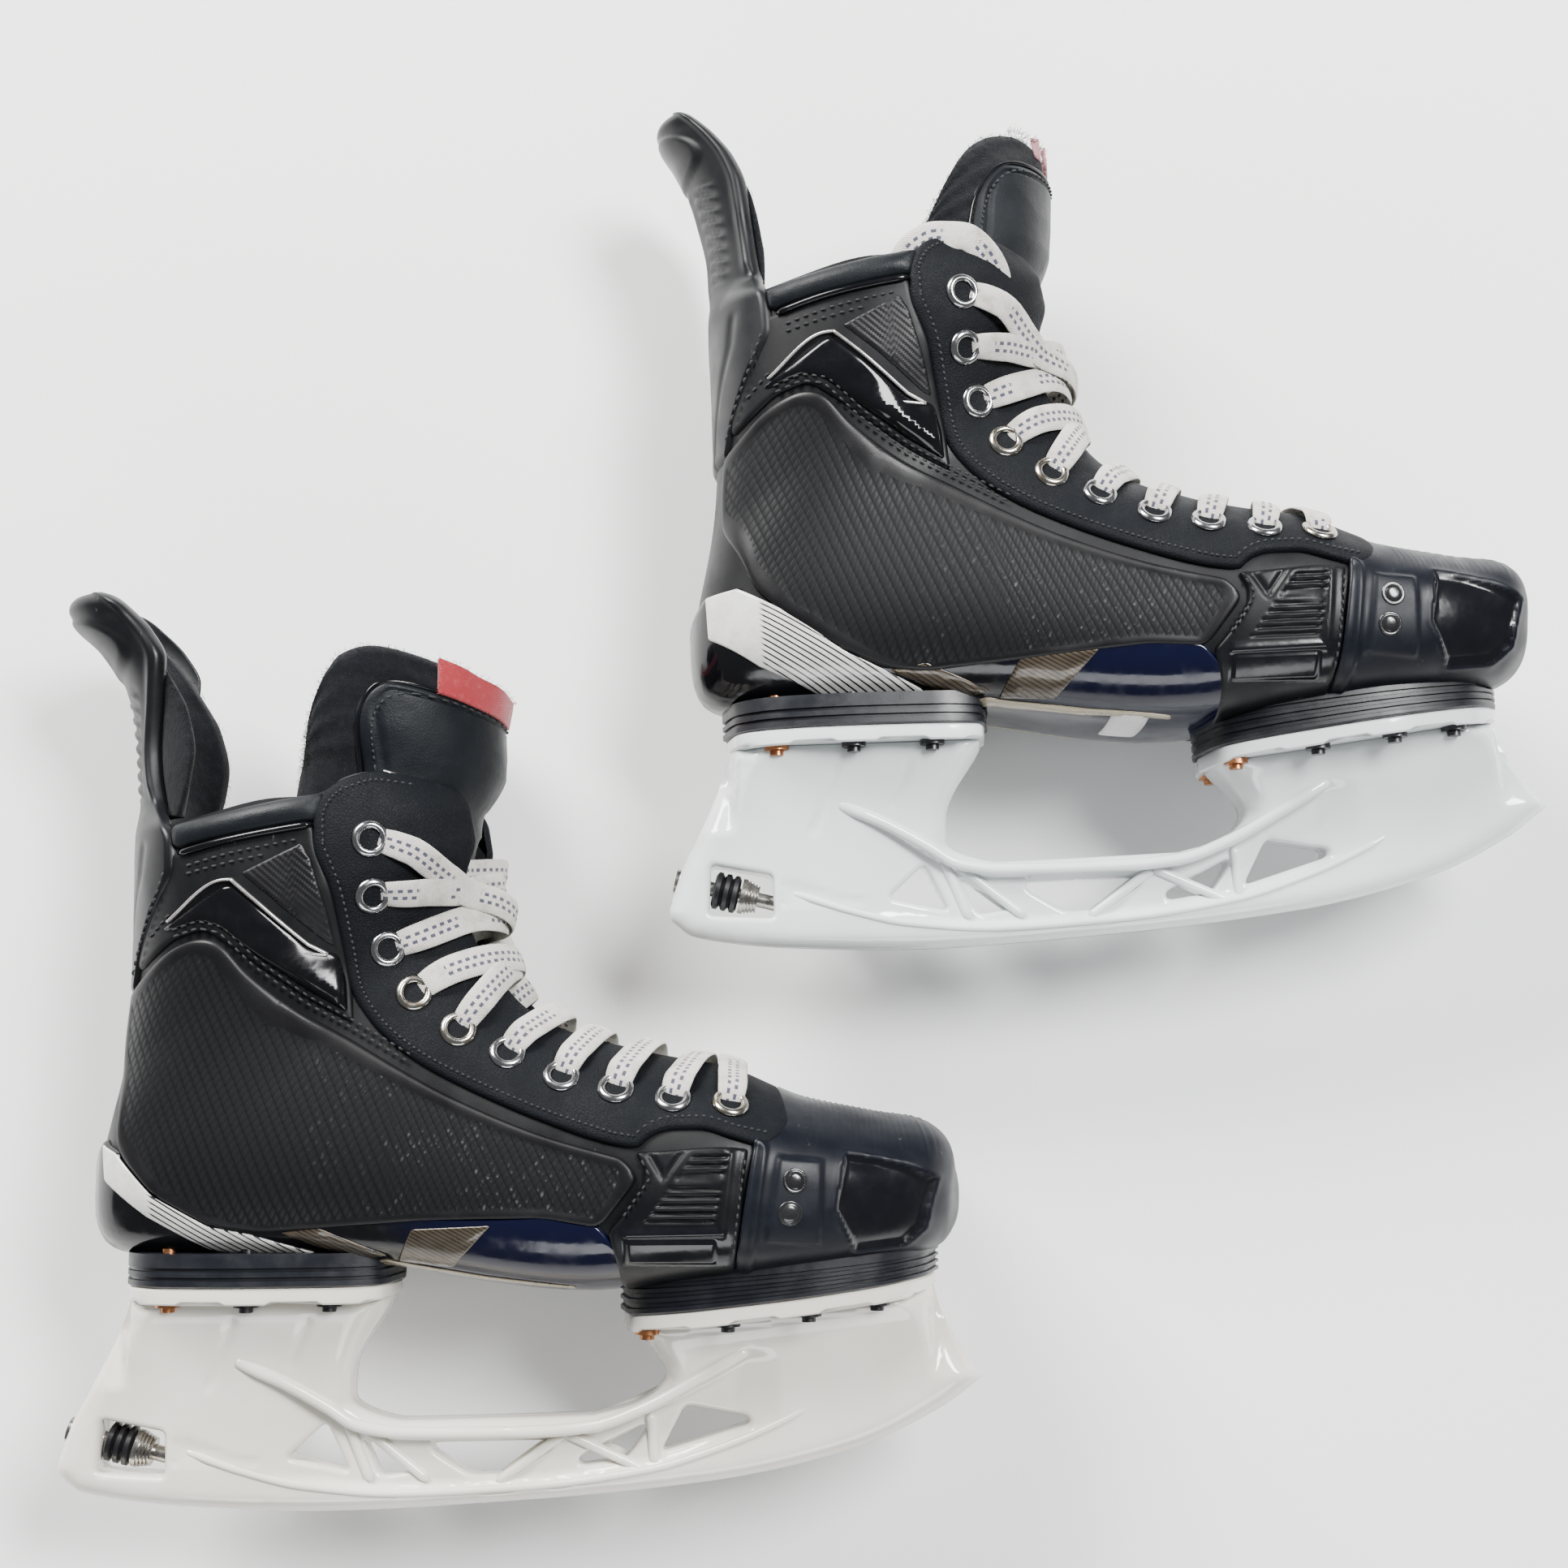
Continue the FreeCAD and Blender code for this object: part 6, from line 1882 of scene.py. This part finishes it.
def lining(foot):
    """The quilted liner round the heel and ankle, and the footbed."""
    key_low, key_top = -46, -84
    turn_from, turn_to = 62, 298
    key, turn = lattice(np.linspace(key_low, key_top, 50), np.linspace(turn_from, turn_to, 110))
    quilt = np.abs(np.sin((key + turn * 0.5) / 9.0)) ** 0.5
    quilt = quilt * np.abs(np.sin((key - turn * 0.5) / 9.0)) ** 0.5
    from_edge = np.minimum(turn - turn_from, turn_to - turn) / 12
    soft = np.sqrt(np.clip(np.minimum(from_edge, (key - key_top) / 4), 0.1, 1))
    outer, _ = boot(key, turn, -SHELL_T - 0.2)
    inner, _ = boot(key, turn, -SHELL_T - 0.3 - (LINER_T + 0.6 * quilt) * soft)
    piece = build(foot, "liner_quilted", *closed_grid(outer, inner), LOOK["liner"],
                  replaces=["liner"], slot="liner")
    xx, cc = lattice(np.linspace(24, 270, 90), np.linspace(-1, 1, 31))
    top = curve([(20, 95.4), (60, 95.2), (110, 92.8), (159, 85.3), (180, 84.3), (240, 88.8),
                 (276, 92.8)], xx)
    half = curve([(24, 9), (40, 24), (60, 28), (110, 27), (160, 33), (200, 37), (240, 35), (258, 25),
                  (270, 9)], xx)
    y = cc * half
    dish = 2.2 * np.abs(cc) ** 3 * fall(xx, 140, 60)
    upper = np.stack([xx, y, top + dish], -1)
    lower = np.stack([xx, y * 0.97, top - 3.6 + dish * 0.7], -1)
    build(foot, "footbed_cover", *closed_grid(upper, lower), LOOK["footbed"],
          replaces=["footbed"], slot="footbed")


# --- room, lights and camera --------------------------------------------------------------


FLOOR_HALF = 6.0  # metres
FLOOR_Z = -0.0006  # just under the skates, so that nothing flickers against it
SKY_COLOUR, SKY_STRENGTH = (0.95, 0.97, 1.0, 1), 0.22
# Each light's name, place and size in metres, power in watts and colour. All face the middle.
LIGHTS = [
    ("window", (-1.1, 1.5, 1.1), (1.1, 0.8), 128, (1.0, 0.99, 0.97)),
    ("ceiling", (0.9, 0.7, 1.7), (0.9, 0.5), 84, (1, 1, 1)),
    ("front_fill", (0.1, -1.7, 0.9), (1.6, 0.5), 16, (0.96, 0.98, 1.0)),
]
CAMERA_PLACE = (-0.0259, -0.0960, 0.752)
CAMERA_TURN_DEG = (7.74, -1.14, -0.44)  # nearly straight down on the pair
LENS_MM, SENSOR_MM = 48.0, 36.0


def add_to_scene(name, data):
    thing = bpy.data.objects.new(name, data)
    bpy.context.scene.collection.objects.link(thing)
    return thing


def make_room():
    """A plain pale floor under a soft sky."""
    floor = bpy.data.meshes.new("floor")
    corners = [(-1, -1), (1, -1), (1, 1), (-1, 1)]
    floor.from_pydata([(x * FLOOR_HALF, y * FLOOR_HALF, FLOOR_Z) for x, y in corners], [],
                      [(0, 1, 2, 3)])
    look = Look("floor_paper", (0.93, 0.93, 0.928), 0.9, Specular_IOR_Level=0.1)
    look.bump(look.noise(2.0, 3), 0.05, 0.3)
    floor.materials.append(look.material)
    add_to_scene("floor", floor)
    world = bpy.data.worlds.new("room")
    bpy.context.scene.world = world
    world.use_nodes = True
    background = world.node_tree.nodes["Background"]
    background.inputs[0].default_value = SKY_COLOUR
    background.inputs[1].default_value = SKY_STRENGTH


def make_lights():
    for name, place, size, power, colour in LIGHTS:
        data = bpy.data.lights.new(name, "AREA")
        data.shape = "RECTANGLE"
        data.size, data.size_y = size
        data.energy = power
        data.color = colour
        light = add_to_scene(name, data)
        light.location = place
        light.rotation_euler = (-Vector(place)).to_track_quat("-Z", "Y").to_euler()


def make_camera():
    data = bpy.data.cameras.new("camera")
    data.lens, data.sensor_width = LENS_MM, SENSOR_MM
    data.clip_start = 0.01
    camera = add_to_scene("camera", data)
    camera.location = CAMERA_PLACE
    camera.rotation_euler = [math.radians(a) for a in CAMERA_TURN_DEG]
    bpy.context.scene.camera = camera


make_room()
make_lights()
make_camera()
dress_cad_nodes()
for foot in FEET:
    for make in (side_panels, eyestays, ankle_badges, forefoot, toe_cap, sole, laces, eyelets,
                 holder, tongue, tendon_guard, lining):
        make(foot)
